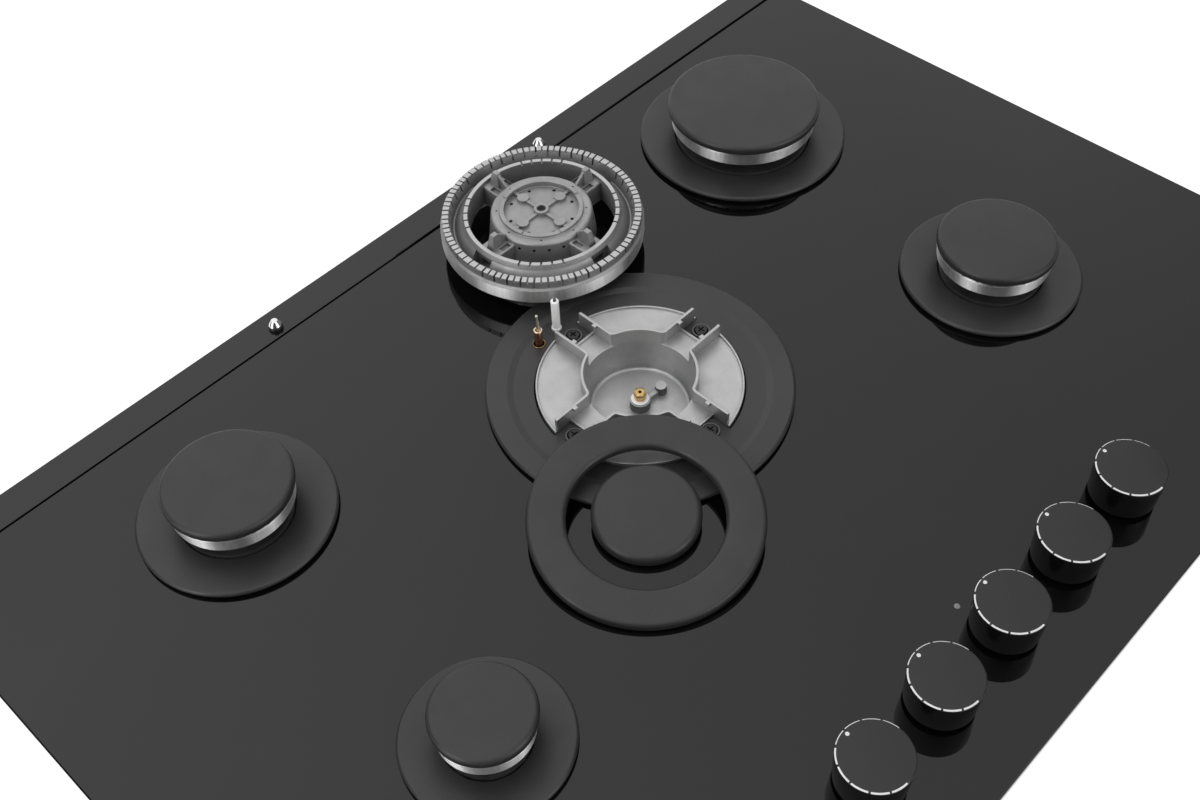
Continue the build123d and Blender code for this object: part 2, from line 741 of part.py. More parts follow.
def small_cup(burner):
    """Cup of a small burner: bowl for the crown's drum and a rimmed tray."""
    out_r = burner.bowl_out_r
    points = [
        (0, -SMALL_BOWL_DEPTH - SMALL_FLOOR_T),
        (out_r - SMALL_FLOOR_T, -SMALL_BOWL_DEPTH - SMALL_FLOOR_T),
        (out_r, -SMALL_BOWL_DEPTH),
        (out_r, TRAY_H - TRAY_T),
        (burner.tray_r, TRAY_H - TRAY_T),
        (burner.tray_r, TRAY_RIM_H),
        (burner.tray_r - TRAY_RIM_T, TRAY_RIM_H),
        (burner.tray_r - TRAY_RIM_T, TRAY_H),
        (out_r, TRAY_H),
        (out_r, CROWN_SEAT_H),
        (burner.bowl_r, CROWN_SEAT_H),
        (burner.bowl_r, -SMALL_BOWL_DEPTH),
        (0, -SMALL_BOWL_DEPTH),
    ]
    cup = turned(points) + cup_foot(-SMALL_BOWL_DEPTH - SMALL_FLOOR_T / 2)
    for at in (burner.electrode(), burner.thermocouple()):
        cup += probe_arm(burner.bowl_r + SMALL_BOWL_T / 2, at)
    boss, seat = injector_boss(-SMALL_BOWL_DEPTH)
    return on_glass(burner.place, cup + boss - seat)


def lobe_walls():
    """Walls round the four lobes, rounded where the bowl meets the channels."""
    reach = WALL_TIP_R

    def corner_region(edge, hole_r, corner_r, end):
        side = end - edge
        region = Pos(edge + side / 2, edge + side / 2) * Rectangle(side, side) - Circle(hole_r)
        rounded = [v for v in region.vertices() if abs(math.hypot(v.X, v.Y) - hole_r) < 0.01]
        return fillet(rounded, corner_r)

    outer = corner_region(CHANNEL_HALF, BOWL_R, LOBE_CORNER_R, reach)
    inner = corner_region(WALL_OUT, BOWL_R + BOWL_T, LOBE_CORNER_R - WALL_T, 2 * reach)
    wall = extrude(outer - inner, WALL_H)
    return quarters(wall)


def centre_cup():
    """Cup of the centre burner: a bowl, four walled channels and a lobed tray."""
    floor_z = -BOWL_DEPTH
    bowl = turned(
        [
            (0, floor_z - BOWL_FLOOR_T),
            (BOWL_FLOOR_R + BOWL_T, floor_z - BOWL_FLOOR_T),
            (BOWL_R + BOWL_T, TRAY_H),
            (0, TRAY_H),
        ],
        [0, BOWL_FILLET_R, 0, 0],
    )
    tray = turned(
        [
            (0, TRAY_H - TRAY_T),
            (TRAY_R, TRAY_H - TRAY_T),
            (TRAY_R, TRAY_RIM_H),
            (TRAY_R - TRAY_RIM_T, TRAY_RIM_H),
            (TRAY_R - TRAY_RIM_T, TRAY_H),
            (0, TRAY_H),
        ]
    )
    floor_block = block((0, CHANNEL_FLOOR_R), (-WALL_OUT, WALL_OUT), (-EAR_DEPTH, TRAY_H))
    ear = block((0, EAR_END_R), (-WALL_OUT, WALL_OUT), (-EAR_DEPTH, 0))
    ear = fillet(ear.edges().filter_by(Axis.Z).sort_by(Axis.X)[-2:], LOBE_CORNER_R)
    mouth = block(
        (CHANNEL_FLOOR_R, TRAY_R + DISH_GAP),
        (-CHANNEL_HALF, CHANNEL_HALF),
        (0, 2 * TRAY_RIM_H),
    )
    room = turned(
        [(0, floor_z), (BOWL_FLOOR_R, floor_z), (BOWL_R, TRAY_H), (BOWL_R, 2 * TRAY_H), (0, 2 * TRAY_H)],
        [0, BOWL_FILLET_R - BOWL_T, 0, 0, 0],
    )
    screw_hole = rod(SCREW_R + BASE_SCREW_CLEARANCE, (-FOREVER, 1), (SCREW_RING_R, 0))
    lug_inner = CHANNEL_HALF - LUG_W
    lugs = [
        block((LUG_R - LUG_L, LUG_R), sorted((side * lug_inner, side * WALL_OUT)), (WALL_H - LUG_H, WALL_H))
        for side in (-1, 1)
    ]
    cup = bowl + tray + quarters(floor_block) + quarters(ear)
    cup -= quarters(mouth)
    cup -= room
    cup += lobe_walls()
    lip_r = (CHANNEL_FLOOR_R - LIP_W, CHANNEL_FLOOR_R)
    lip = block(lip_r, (-CHANNEL_HALF, CHANNEL_HALF), (TRAY_H - LIP_H, TRAY_H + LIP_H))
    for rise in [*lugs, lip]:
        cup += quarters(rise)
    cup += cup_foot(floor_z - BOWL_FLOOR_T / 2)
    for at in (CENTRE_ELECTRODE, CENTRE_THERMOCOUPLE):
        cup += probe_arm(EAR_END_R - WALL_OUT, at)
    cup -= quarters(screw_hole)
    boss, seat = injector_boss(floor_z)
    dowel = rod(DOWEL_R, (floor_z - BOWL_T, -DOWEL_TOP), DOWEL_AT)
    rib = block((0, math.hypot(*DOWEL_AT)), (-RIB_W / 2, RIB_W / 2), (floor_z - BOWL_T, -RIB_TOP))
    rib = Rot(0, 0, math.degrees(math.atan2(DOWEL_AT[1], DOWEL_AT[0]))) * rib
    return on_glass(CENTRE, cup + boss + dowel + rib - seat)


# ---------------------------------------------------------------- screws and injectors
def cross_recess(top_z):
    """Crossed slots for the driver."""
    bar = Pos(0, 0, top_z - CROSS_DEPTH / 2) * Box(CROSS_L, CROSS_W, CROSS_DEPTH)
    return [bar, Rot(0, 0, 90) * bar]


def dish_screw():
    head = turned(
        [
            (0, DISH_FLOOR_H),
            (SCREW_HEAD_R, DISH_FLOOR_H),
            (SCREW_HEAD_R, SCREW_HEAD_TOP),
            (0, SCREW_HEAD_TOP),
        ],
        [0, 0, (SCREW_HEAD_TOP - DISH_FLOOR_H) / 3, 0],
    )
    screw = head + rod(SCREW_R, (-SCREW_REACH, DISH_FLOOR_H)) - cross_recess(SCREW_HEAD_TOP)
    return Pos(SCREW_RING_R, 0, 0) * screw


def centre_cup_screws():
    return group(on_glass(CENTRE, screw) for screw in quarters(dish_screw()))


def base_screw():
    low = BASE_Z + BASE_EAR_T
    head = rod(BASE_SCREW_HEAD_R, (low, low + BASE_SCREW_HEAD_H))
    screw = head + rod(BASE_SCREW_R, (BASE_Z - BASE_SCREW_REACH, low))
    return screw


def small_cup_screws():
    return group(
        on_glass(place, Pos(side * BASE_EAR_X, 0, 0) * base_screw())
        for place in burner_places()
        for side in (-1, 1)
    )


def burner_places():
    return [burner.place for burner in BURNERS.values()] + [CENTRE]


def injector():
    seat = -INJECTOR_BOSS_TOP + INJECTOR_WASHER_T
    nozzle = hexagon(INJECTOR_AF, (seat, seat + INJECTOR_H))
    nozzle += rod(INJECTOR_SHANK_R, (seat - INJECTOR_SHANK_L, seat))
    return nozzle - rod(INJECTOR_BORE_R, (-FOREVER, FOREVER))


def injector_washer():
    span = (-INJECTOR_BOSS_TOP, -INJECTOR_BOSS_TOP + INJECTOR_WASHER_T)
    return rod(INJECTOR_WASHER_R, span) - rod(INJECTOR_SHANK_R + INJECTOR_CLEARANCE, (-FOREVER, FOREVER))


# ---------------------------------------------------------------- electrodes and thermocouples
def electrode_ceramic(top):
    seat = -PROBE_SEAT
    points = [
        (0, -CERAMIC_TAIL),
        (CERAMIC_R, -CERAMIC_TAIL),
        (CERAMIC_R, seat),
        (CERAMIC_FLANGE_R, seat),
        (CERAMIC_FLANGE_R, seat + CERAMIC_FLANGE_H),
        (CERAMIC_COLLAR_R, seat + CERAMIC_FLANGE_H),
        (CERAMIC_COLLAR_R, CERAMIC_COLLAR_H),
        (CERAMIC_R, CERAMIC_COLLAR_H),
        (CERAMIC_R, top),
        (0, top),
    ]
    ceramic = turned(points, [0, 0, 0, 0, 0, 0, 0.4, 0, 0.6, 0])
    return ceramic - rod(TIP_R, (top - TIP_SEAT, top + 1))


def electrode_tip(top):
    tip = turned(
        [(0, top - TIP_SEAT), (TIP_R, top - TIP_SEAT), (TIP_R, top + TIP_OUT), (0, top + TIP_OUT)],
        [0, 0, TIP_R / 2, 0],
    )
    return tip


def thermocouple(body_top, needle_top):
    seat = -PROBE_SEAT
    points = [
        (0, -COUPLE_TAIL),
        (COUPLE_R, -COUPLE_TAIL),
        (COUPLE_R, seat),
        (COUPLE_NUT_R, seat),
        (COUPLE_NUT_R, seat + CERAMIC_FLANGE_H),
        (COUPLE_R, seat + CERAMIC_FLANGE_H),
        (COUPLE_R, body_top - COUPLE_RING_H),
        (COUPLE_RING_R, body_top - COUPLE_RING_H),
        (COUPLE_RING_R, body_top),
        (NEEDLE_R, body_top),
        (NEEDLE_R, needle_top),
        (0, needle_top),
    ]
    return turned(points, [0] * 8 + [0.3, 0, 0.3, 0])


def thermocouple_collar(low):
    return turned(
        [
            (COUPLE_R + COLLAR_CLEARANCE, low),
            (COLLAR_R, low),
            (COLLAR_R, low + COLLAR_H),
            (COUPLE_R + COLLAR_CLEARANCE, low + COLLAR_H),
        ],
        [0, 0, 0.5, 0],
    )


def probes():
    """Each electrode and thermocouple: burner place, offsets, heights and the collar's foot."""
    found = []
    for burner in BURNERS.values():
        collar_low = burner.dish_height(burner.probe_r + COLLAR_R)
        offsets = (burner.electrode(), burner.thermocouple())
        found.append((burner.place, *offsets, SMALL_PROBE_TOPS, collar_low))
    found.append((CENTRE, CENTRE_ELECTRODE, CENTRE_THERMOCOUPLE, CENTRE_PROBE_TOPS, DISH_FLOOR_H))
    return found


def probe_nodes():
    ceramics, tips, couples, collars = [], [], [], []
    for place, electrode, couple, tops, collar_low in probes():
        ceramic_top, body_top, needle_top = tops
        ceramics.append(on_glass(place, Pos(*electrode) * electrode_ceramic(ceramic_top)))
        tips.append(on_glass(place, Pos(*electrode) * electrode_tip(ceramic_top)))
        couples.append(on_glass(place, Pos(*couple) * thermocouple(body_top, needle_top)))
        collars.append(on_glass(place, Pos(*couple) * thermocouple_collar(collar_low)))
    return {
        "electrode_ceramics": group(ceramics),
        "electrode_tips": group(tips),
        "thermocouples": group(couples),
        "thermocouple_collars": group(collars),
    }


# ---------------------------------------------------------------- crowns and caps
def small_crown(burner):
    """Flame spreader of a small burner, with its polished band and flame slots."""
    out_r = burner.band_r
    shoulder_r = burner.bowl_out_r + 1
    points = [
        (burner.drum_r - DRUM_WALL_T, -DRUM_DEPTH),
        (burner.drum_r, -DRUM_DEPTH),
        (burner.drum_r, CROWN_SEAT_H),
        (shoulder_r, CROWN_SEAT_H),
        (shoulder_r, BAND_LOW),
        (out_r - BAND_DRAFT, BAND_LOW),
        (out_r, CAP_LOW),
        (out_r - BAND_T, CAP_LOW),
        (out_r - BAND_T, BAND_LOW + CROWN_FLOOR),
        (burner.drum_r - DRUM_WALL_T, BAND_LOW + CROWN_FLOOR),
    ]
    crown = turned(points, [0, 0.6, 0, 0, 0, 0.8, 0, 0, 0, 0])
    slot = block(
        (out_r - 2 * BAND_T, out_r + BAND_T),
        (-FLAME_SLOT_W / 2, FLAME_SLOT_W / 2),
        (CAP_LOW - FLAME_SLOT_H, CAP_LOW + FLAME_SLOT_H),
    )
    slots = [Rot(0, 0, 360 * index / burner.slots) * slot for index in range(burner.slots)]
    return on_glass(burner.place, crown - slots)


def small_cap(burner):
    """Cap of a small burner, with the ring under it that centres it on the crown."""
    skirt_r = burner.band_r - BAND_T - CAP_SKIRT_GAP
    points = [
        (0, CAP_LOW),
        (skirt_r - CAP_SKIRT_T, CAP_LOW),
        (skirt_r - CAP_SKIRT_T, CAP_LOW - CAP_SKIRT_H),
        (skirt_r, CAP_LOW - CAP_SKIRT_H),
        (skirt_r, CAP_LOW),
        (burner.cap_r, CAP_LOW),
        (burner.cap_r, CAP_LOW + CAP_T),
        (0, CAP_LOW + CAP_T),
    ]
    return on_glass(burner.place, turned(points, [0, 0, 0, 0, 0, CAP_EDGE_R, CAP_TOP_R, 0]))


def tooth_slots():
    """Cutters for the crown's teeth: deep slots between pairs, shallow ones in them and over the arms."""
    span_r = (TEETH_IN_R - 2, CROWN_BAND_R + 1)
    deep = block(span_r, (-DEEP_SLOT_W / 2, DEEP_SLOT_W / 2), (DEEP_SLOT_LOW, 2 * TEETH_TOP))
    shallow = block(span_r, (-SHALLOW_SLOT_W / 2, SHALLOW_SLOT_W / 2), (SHALLOW_SLOT_LOW, 2 * TEETH_TOP))
    pairs_span = PAIRS_PER_QUADRANT * PAIR_PITCH
    first = 45 - pairs_span / 2
    single_pitch = (90 - pairs_span) / SINGLES_PER_QUADRANT
    cutters = [Rot(0, 0, first + pairs_span) * deep]
    for index in range(PAIRS_PER_QUADRANT):
        cutters.append(Rot(0, 0, first + index * PAIR_PITCH) * deep)
        cutters.append(Rot(0, 0, first + (index + 0.5) * PAIR_PITCH) * shallow)
    for index in range(1, SINGLES_PER_QUADRANT):
        cutters.append(Rot(0, 0, first + pairs_span + index * single_pitch) * shallow)
    return [turned_cutter for cutter in cutters for turned_cutter in quarters(cutter)]


def crown_outer_ring():
    """Polished band, teeth, trough and slotted inner ring."""
    low = CROWN_BAND_LOW
    band_top = low + CROWN_BAND_H
    points = [
        (INNER_RING_IN_R, low),
        (CROWN_BAND_FOOT_R, low),
        (CROWN_BAND_R, low + (CROWN_BAND_R - CROWN_BAND_FOOT_R)),
        (CROWN_BAND_R, band_top),
        (TEETH_OUT_R, band_top + TEETH_LEDGE_H),
        (TEETH_OUT_R, TEETH_TOP),
        (TEETH_IN_R, TEETH_TOP),
        (TROUGH_OUT_R, TROUGH_LOW),
        (TROUGH_IN_R, TROUGH_LOW),
        (SLOPE_TOP_R, SLOPE_TOP),
        (INNER_RING_OUT_R, INNER_RING_TOP),
        (INNER_RING_IN_R, INNER_RING_TOP),
    ]
    ring = turned(points, [0, 0, 0, 0.3, 0.8, 0.4, 0.4, 0.5, 0.5, 1.0, 0.4, 0.4])
    slot = block(
        (INNER_RING_IN_R - 1, INNER_RING_OUT_R + 1),
        (-INNER_SLOT_W / 2, INNER_SLOT_W / 2),
        (INNER_SLOT_LOW, 2 * TEETH_TOP),
    )
    pocket = block(
        (INNER_RING_OUT_R, TROUGH_OUT_R - POCKET_GAP),
        (-POCKET_W / 2, POCKET_W / 2),
        (low + CROWN_FLOOR_T, SLOPE_TOP),
    )
    first = 45 - INNER_SLOT_PITCH * (INNER_SLOTS - 1) / 2
    inner_slots = [
        copy
        for index in range(INNER_SLOTS)
        for copy in quarters(Rot(0, 0, first + index * INNER_SLOT_PITCH) * slot)
    ]
    return ring - (tooth_slots() + inner_slots + quarters(pocket))


def drum_slope_r(z):
    """Radius of the drum's leaning side at a height."""
    share = (DRUM_TOP - z) / (DRUM_TOP - CROWN_BAND_LOW)
    return DRUM_TOP_R + (DRUM_R - DRUM_TOP_R) * share


def crown_drum():
    """Drum and hub of the centre crown: open below, with a ledge and a ring round the hub plate."""
    under = HUB_PLATE_TOP - HUB_PLATE_T
    points = [
        (SPIGOT_R - SPIGOT_T, 0),
        (SPIGOT_R, 0),
        (SPIGOT_R, CROWN_BAND_LOW),
        (DRUM_R, CROWN_BAND_LOW),
        (DRUM_TOP_R, DRUM_TOP),
        (HUB_RING_OUT_R, DRUM_TOP),
        (HUB_RING_OUT_R, HUB_RING_TOP),
        (HUB_RING_IN_R, HUB_RING_TOP),
        (HUB_RING_IN_R, HUB_PLATE_TOP),
        (0, HUB_PLATE_TOP),
        (0, under),
        (SPIGOT_R - SPIGOT_T, under),
    ]
    drum = turned(points, [0, 0.4, 0, 0.8, 2.0, 0.6, 0.5, 0.5, 0.5, 0, 0, 1.0])
    rib = block((0, HUB_RING_IN_R), (-HUB_RIB_W / 2, HUB_RIB_W / 2), (under, HUB_RIB_TOP))
    pad = rod(PAD_R, (under, PAD_TOP), (PAD_RING_R, 0))
    drum = drum + quarters(rib) + quarters(pad) + rod(HUB_BOSS_R, (under, HUB_BOSS_TOP))
    drum -= rod(HUB_BOSS_BORE_R, (HUB_PLATE_TOP - HUB_PLATE_T / 2, 2 * HUB_BOSS_TOP))
    pitch = 360 / HUB_HOLES
    through = (under - 1, HUB_RING_TOP)
    holes = [rod(HUB_HOLE_R, through, polar(HUB_HOLE_RING_R, (i + 0.5) * pitch)) for i in range(HUB_HOLES)]
    pitch = 360 / LEDGE_HOLES
    blind = (DRUM_TOP - LEDGE_HOLE_DEPTH, HUB_RING_TOP)
    holes += [rod(LEDGE_HOLE_R, blind, polar(LEDGE_HOLE_RING_R, i * pitch)) for i in range(LEDGE_HOLES)]
    return drum - (holes + [ring_step(*span) for span in HUB_RING_LOW_SPANS])


def ring_step(start, end):
    """Cutter that lowers the ring round the hub between two azimuths."""
    middle_r = (HUB_RING_IN_R + HUB_RING_OUT_R) / 2
    section = Rectangle(2 * (HUB_RING_OUT_R - HUB_RING_IN_R), 2 * HUB_RING_STEP)
    profile = Plane.XZ * Pos(middle_r, HUB_RING_TOP) * section
    return Rot(0, 0, start) * revolve(profile, Axis.Z, revolution_arc=end - start)


def crown_arm():
    """A hollow arm from the drum to the rings, with a wedge-shaped fin between two recesses."""
    span_r = (SPIGOT_R - SPIGOT_T, INNER_RING_OUT_R - 1)
    arm = block(span_r, (-ARM_W / 2, ARM_W / 2), (CROWN_BAND_LOW, ARM_TOP))
    arm = fillet(arm.edges().filter_by(Axis.X).sort_by(Axis.Z)[-2:], ARM_W / 10)
    for side in (-1, 1):
        across = sorted((side * RECESS_SIDE, side * (RECESS_SIDE + RECESS_W)))
        arm -= block((RECESS_IN_R, RECESS_OUT_R), across, (ARM_TOP - RECESS_H, 2 * ARM_TOP))
    foot = ARM_TOP - RECESS_H
    fin = loft([Pos(FIN_R, 0, foot) * Rectangle(*FIN_FOOT), Pos(FIN_R, 0, FIN_TOP) * Rectangle(*FIN_TIP)])
    web_points = [
        (DRUM_TOP_R - 1, foot),
        (FIN_R, foot),
        (FIN_R, FIN_TOP - 1),
        (FIN_R - FIN_TIP[0] / 2, FIN_TOP - 1),
        (DRUM_TOP_R - 1, DRUM_TOP),
    ]
    web = extrude(Plane.XZ * make_face(Polyline(*web_points, close=True)), FIN_WEB_T / 2, both=True)
    return arm + fin + web


def crown_duct():
    """The gas way through an arm, from inside the drum to the pocket in the trough."""
    low = CROWN_BAND_LOW + CROWN_FLOOR_T
    span_r = (SPIGOT_R - 2 * SPIGOT_T, INNER_RING_OUT_R + 1)
    return block(span_r, (-DUCT_W / 2, DUCT_W / 2), (low, low + DUCT_H))


def centre_crown():
    side_holes = []
    first = 45 - DRUM_HOLE_PITCH * (DRUM_HOLES - 1) / 2
    hole_z = DRUM_TOP - DRUM_HOLE_DROP
    bore = Pos(drum_slope_r(hole_z), 0, hole_z) * Rot(0, 90, 0) * Cylinder(DRUM_HOLE_R, 2 * SPIGOT_T)
    for index in range(DRUM_HOLES):
        side_holes += quarters(Rot(0, 0, first + index * DRUM_HOLE_PITCH) * bore)
    crown = crown_outer_ring() + crown_drum() + quarters(crown_arm())
    crown -= quarters(crown_duct()) + side_holes
    place = (CENTRE[0] + CROWN_OFFSET[0], CENTRE[1] + CROWN_OFFSET[1])
    return on_glass(place, crown)


def lean(foot_r, edge_r, reach, prop_h):
    """Tilt, in degrees, and centre height of a disc with its low edge on the glass.

    foot_r is where its rounded lower edge is centred and edge_r how round that is.
    What props the disc up stands reach from its centre, up the slope, and is prop_h high.
    """
    low, high = 0.0, 40.0
    while high - low > 1e-7:
        tilt = (low + high) / 2
        slope = math.radians(tilt)
        centre_h = foot_r * math.sin(slope) + edge_r * (1 - math.cos(slope))
        if centre_h + reach * math.tan(slope) < prop_h:
            low = tilt
        else:
            high = tilt
    return tilt, centre_h


def leaning(disc, offset, tilt, centre_h):
    """Set a disc down so that its low side points away from the centre burner."""
    azimuth = math.degrees(math.atan2(offset[1], offset[0]))
    at = Pos(CENTRE[0] + offset[0], CENTRE[1] + offset[1], GLASS_TOP + centre_h + REST_GAP)
    return at * Rot(0, 0, azimuth) * Rot(0, tilt, 0) * disc


def ring_cap():
    """Outer cap of the centre burner, leaning on two wall tips of the cup."""
    recess_in, recess_out = RING_CAP_RECESS
    points = [
        (RING_CAP_HOLE_R, 0),
        (recess_in, 0),
        (recess_in, RING_CAP_RECESS_H),
        (recess_out, RING_CAP_RECESS_H),
        (recess_out, 0),
        (RING_CAP_R, 0),
        (RING_CAP_R, RING_CAP_T),
        (RING_CAP_HOLE_R, RING_CAP_T),
    ]
    edge = RING_CAP_EDGE_R
    disc = turned(points, [edge, 0, 0.4, 0.4, 0, edge, RING_CAP_TOP_R, RING_CAP_TOP_R])
    span = math.hypot(*RING_CAP_OFFSET)
    uphill = (-RING_CAP_OFFSET[0] / span, -RING_CAP_OFFSET[1] / span)
    tips = [(-WALL_TIP_R, -WALL_OUT), (-WALL_OUT, -WALL_TIP_R)]
    reach = min(
        (x - RING_CAP_OFFSET[0]) * uphill[0] + (y - RING_CAP_OFFSET[1]) * uphill[1] for x, y in tips
    )
    tilt, centre_h = lean(RING_CAP_R - edge, edge, reach, WALL_H)
    return leaning(disc, RING_CAP_OFFSET, tilt, centre_h)


def inner_cap():
    """Inner cap of the centre burner, leaning on the centre dish's rim."""
    edge = INNER_CAP_EDGE_R
    points = [
        (0, 0),
        (INNER_CAP_R, 0),
        (INNER_CAP_R, INNER_CAP_T),
        (0, INNER_CAP_T),
    ]
    disc = turned(points, [0, edge, INNER_CAP_TOP_R, 0])
    reach = math.hypot(*INNER_CAP_OFFSET) - (CENTRE_DISH_R - DISH_ROUND)
    tilt, centre_h = lean(INNER_CAP_R - edge, edge, reach, DISH_RIM_H)
    return leaning(disc, INNER_CAP_OFFSET, tilt, centre_h)


# ---------------------------------------------------------------- gas supply
def hat_rail(length, at):
    """A folded rail on the box's floor that carries cups."""
    height = RAIL_TOP - SHEET_T
    half = RAIL_W / 2
    points = [
        (-half - RAIL_FOOT, 0),
        (-half - RAIL_FOOT, RAIL_T),
        (-half, RAIL_T),
        (-half, height),
        (half, height),
        (half, RAIL_T),
        (half + RAIL_FOOT, RAIL_T),
        (half + RAIL_FOOT, 0),
        (half - RAIL_T, 0),
        (half - RAIL_T, height - RAIL_T),
        (-half + RAIL_T, height - RAIL_T),
        (-half + RAIL_T, 0),
    ]
    section = Plane.YZ * make_face(Polyline(*points, close=True))
    return Pos(at[0] - length / 2, at[1], SHEET_T) * extrude(section, length)


def support_rails():
    length = BOX_W - 2 * RAIL_END_GAP
    rails = [
        hat_rail(length, (0, REAR_Y)),
        hat_rail(length, (0, FRONT_Y)),
        hat_rail(SHORT_RAIL_LENGTH, CENTRE),
    ]
    hole_r = BASE_SCREW_R + BASE_SCREW_CLEARANCE
    holes = [
        rod(hole_r, (RAIL_TOP - 2 * RAIL_T, RAIL_TOP + 1), (x + side * BASE_EAR_X, y))
        for x, y in burner_places()
        for side in (-1, 1)
    ]
    return group(rail - holes for rail in rails)


def gas_rail():
    x_span = (KNOB_MIDDLE[0] - GAS_RAIL_REACH, KNOB_MIDDLE[0] + GAS_RAIL_REACH)
    length = x_span[1] - x_span[0]
    rail = Pos(sum(x_span) / 2, GAS_RAIL_Y, GAS_RAIL_Z) * Rot(0, 90, 0) * Cylinder(GAS_RAIL_R, length)
    for end in x_span:
        inward = math.copysign(GAS_RAIL_FOOT_T, KNOB_MIDDLE[0] - end)
        foot = block(
            sorted((end, end + inward)),
            (GAS_RAIL_Y - GAS_RAIL_R, GAS_RAIL_Y + GAS_RAIL_R),
            (SHEET_T, GAS_RAIL_Z),
        )
        rail += foot
    return rail


def bent_tube(points, radius, bend_r, z):
    """A tube through points in a level plane, with tangent bends."""
    path = FilletPolyline(*[(x, y, z) for x, y in points], radius=bend_r)
    section = Plane(origin=path @ 0, z_dir=path % 0) * Circle(radius)
    return sweep(section, path=path)


def tube_route(name):
    """Points in plan of a gas tube from its valve to its burner."""
    x, y = KNOBS[name]
    start = (x, y + NIPPLE_END)
    if name == "centre":
        knees = [(x, y + TUBE_LEAD_CENTRE), (CENTRE[0], CENTRE[1] - TUBE_TAIL_CENTRE)]
        return [start, *knees, (CENTRE[0], CENTRE[1] - INLET_FACE)]
    burner_x, burner_y = BURNERS[name].place
    end = (burner_x, burner_y - INLET_FACE)
    if name.startswith("front"):
        return [start, (x, y + TUBE_LEAD_FRONT), (burner_x, burner_y - TUBE_TAIL_FRONT), end]
    lane_x = math.copysign(TUBE_LANE_X, burner_x)
    lane = [(lane_x, -TUBE_LANE_END), (lane_x, TUBE_LANE_END)]
    return [start, (x, y + TUBE_LEAD_REAR), *lane, (burner_x, burner_y - TUBE_TAIL_REAR), end]


def gas_tubes():
    tubes = [bent_tube(tube_route(name), TUBE_R, TUBE_BEND_R, TUBE_Z) for name in KNOB_NAMES]
    rail_end = KNOB_MIDDLE[0] + GAS_RAIL_REACH
    supply = [
        (NOTCH_X, NOTCH_Y - SHEET_T - INLET_NUT_T),
        (NOTCH_X, NOTCH_Y - NOTCH_D),
        (SUPPLY_X, NOTCH_Y - NOTCH_D - SUPPLY_JOG),
        (SUPPLY_X, GAS_RAIL_Y + 2 * SUPPLY_BEND_R),
        (SUPPLY_X - 2 * SUPPLY_BEND_R, GAS_RAIL_Y),
        (rail_end, GAS_RAIL_Y),
    ]
    tubes.append(bent_tube(supply, SUPPLY_R, SUPPLY_BEND_R, GAS_RAIL_Z))
    return group(tubes)


def gas_inlet():
    """Threaded inlet in the recess of the back wall: lock nut, hexagon and thread."""
    inner = -SHEET_T - INLET_NUT_T
    body = rod(INLET_NUT_R, (inner, -SHEET_T))
    body += rod(INLET_NECK_R, (-SHEET_T, 0))
    body += hexagon(INLET_HEX_AF, (0, INLET_HEX_T))
    body += rod(INLET_THREAD_R, (INLET_HEX_T, INLET_HEX_T + INLET_THREAD_L))
    return backwards(body, (NOTCH_X, NOTCH_Y, GAS_RAIL_Z))


# ---------------------------------------------------------------- valves and knobs
def d_section(radius, flat, z_span):
    """An upright round bar with a flat on one side."""
    beyond = (z_span[0] - 1, z_span[1] + 1)
    return rod(radius, z_span) - block((-2 * radius, 2 * radius), (flat, 2 * radius), beyond)


def valve_body(at):
    """Tap body: block round the plug, saddle over the gas rail and outlet nipple."""
    x, y = at
    rail_y = -GAS_RAIL_FRONT
    body = block((-VALVE_HALF_W, VALVE_HALF_W), (-VALVE_HALF_W, VALVE_BACK), (VALVE_LOW, VALVE_TOP))
    body += block(
        (-VALVE_HALF_W, VALVE_HALF_W),
        (rail_y - SADDLE_HALF, 0),
        (GAS_RAIL_Z - SADDLE_HALF, GAS_RAIL_Z + SADDLE_HALF),
    )
    nipple = backwards(rod(NIPPLE_R, (0, NIPPLE_END - VALVE_BACK)), (0, VALVE_BACK, TUBE_Z))
    body += nipple
    body -= rod(PLUG_R + FIT, (PLUG_LOW, 2 * VALVE_TOP))
    body -= Pos(0, rail_y, GAS_RAIL_Z) * Rot(0, 90, 0) * Cylinder(GAS_RAIL_R + FIT, 4 * VALVE_HALF_W)
    return Pos(x, y, 0) * body


def valve_cover(at):
    cover = block(
        (-VALVE_HALF_W, VALVE_HALF_W),
        (-VALVE_HALF_W, VALVE_BACK),
        (VALVE_TOP, VALVE_TOP + VALVE_COVER_T),
    )
    cover = fillet(cover.edges().filter_by(Axis.Z), VALVE_COVER_T)
    return Pos(at[0], at[1], 0) * (cover - rod(VALVE_COVER_HOLE_R, (0, FOREVER)))


def valve_plug(at):
    """The turning plug of a tap, with a flatted socket for the stem and a cross bore."""
    plug = rod(PLUG_R, (PLUG_LOW + FIT, PLUG_TOP))
    plug -= d_section(STEM_R + FIT, STEM_FLAT + FIT, (PLUG_SOCKET_LOW, PLUG_TOP + 1))
    port_z = (PLUG_LOW + PLUG_SOCKET_LOW) / 2
    plug -= backwards(rod(PLUG_PORT_R, (-2 * PLUG_R, 2 * PLUG_R)), (0, 0, port_z))
    return Pos(at[0], at[1], 0) * plug


def stem(at):
    return Pos(at[0], at[1], 0) * d_section(STEM_R, STEM_FLAT, (STEM_FOOT, GLASS_TOP + STEM_TOP))


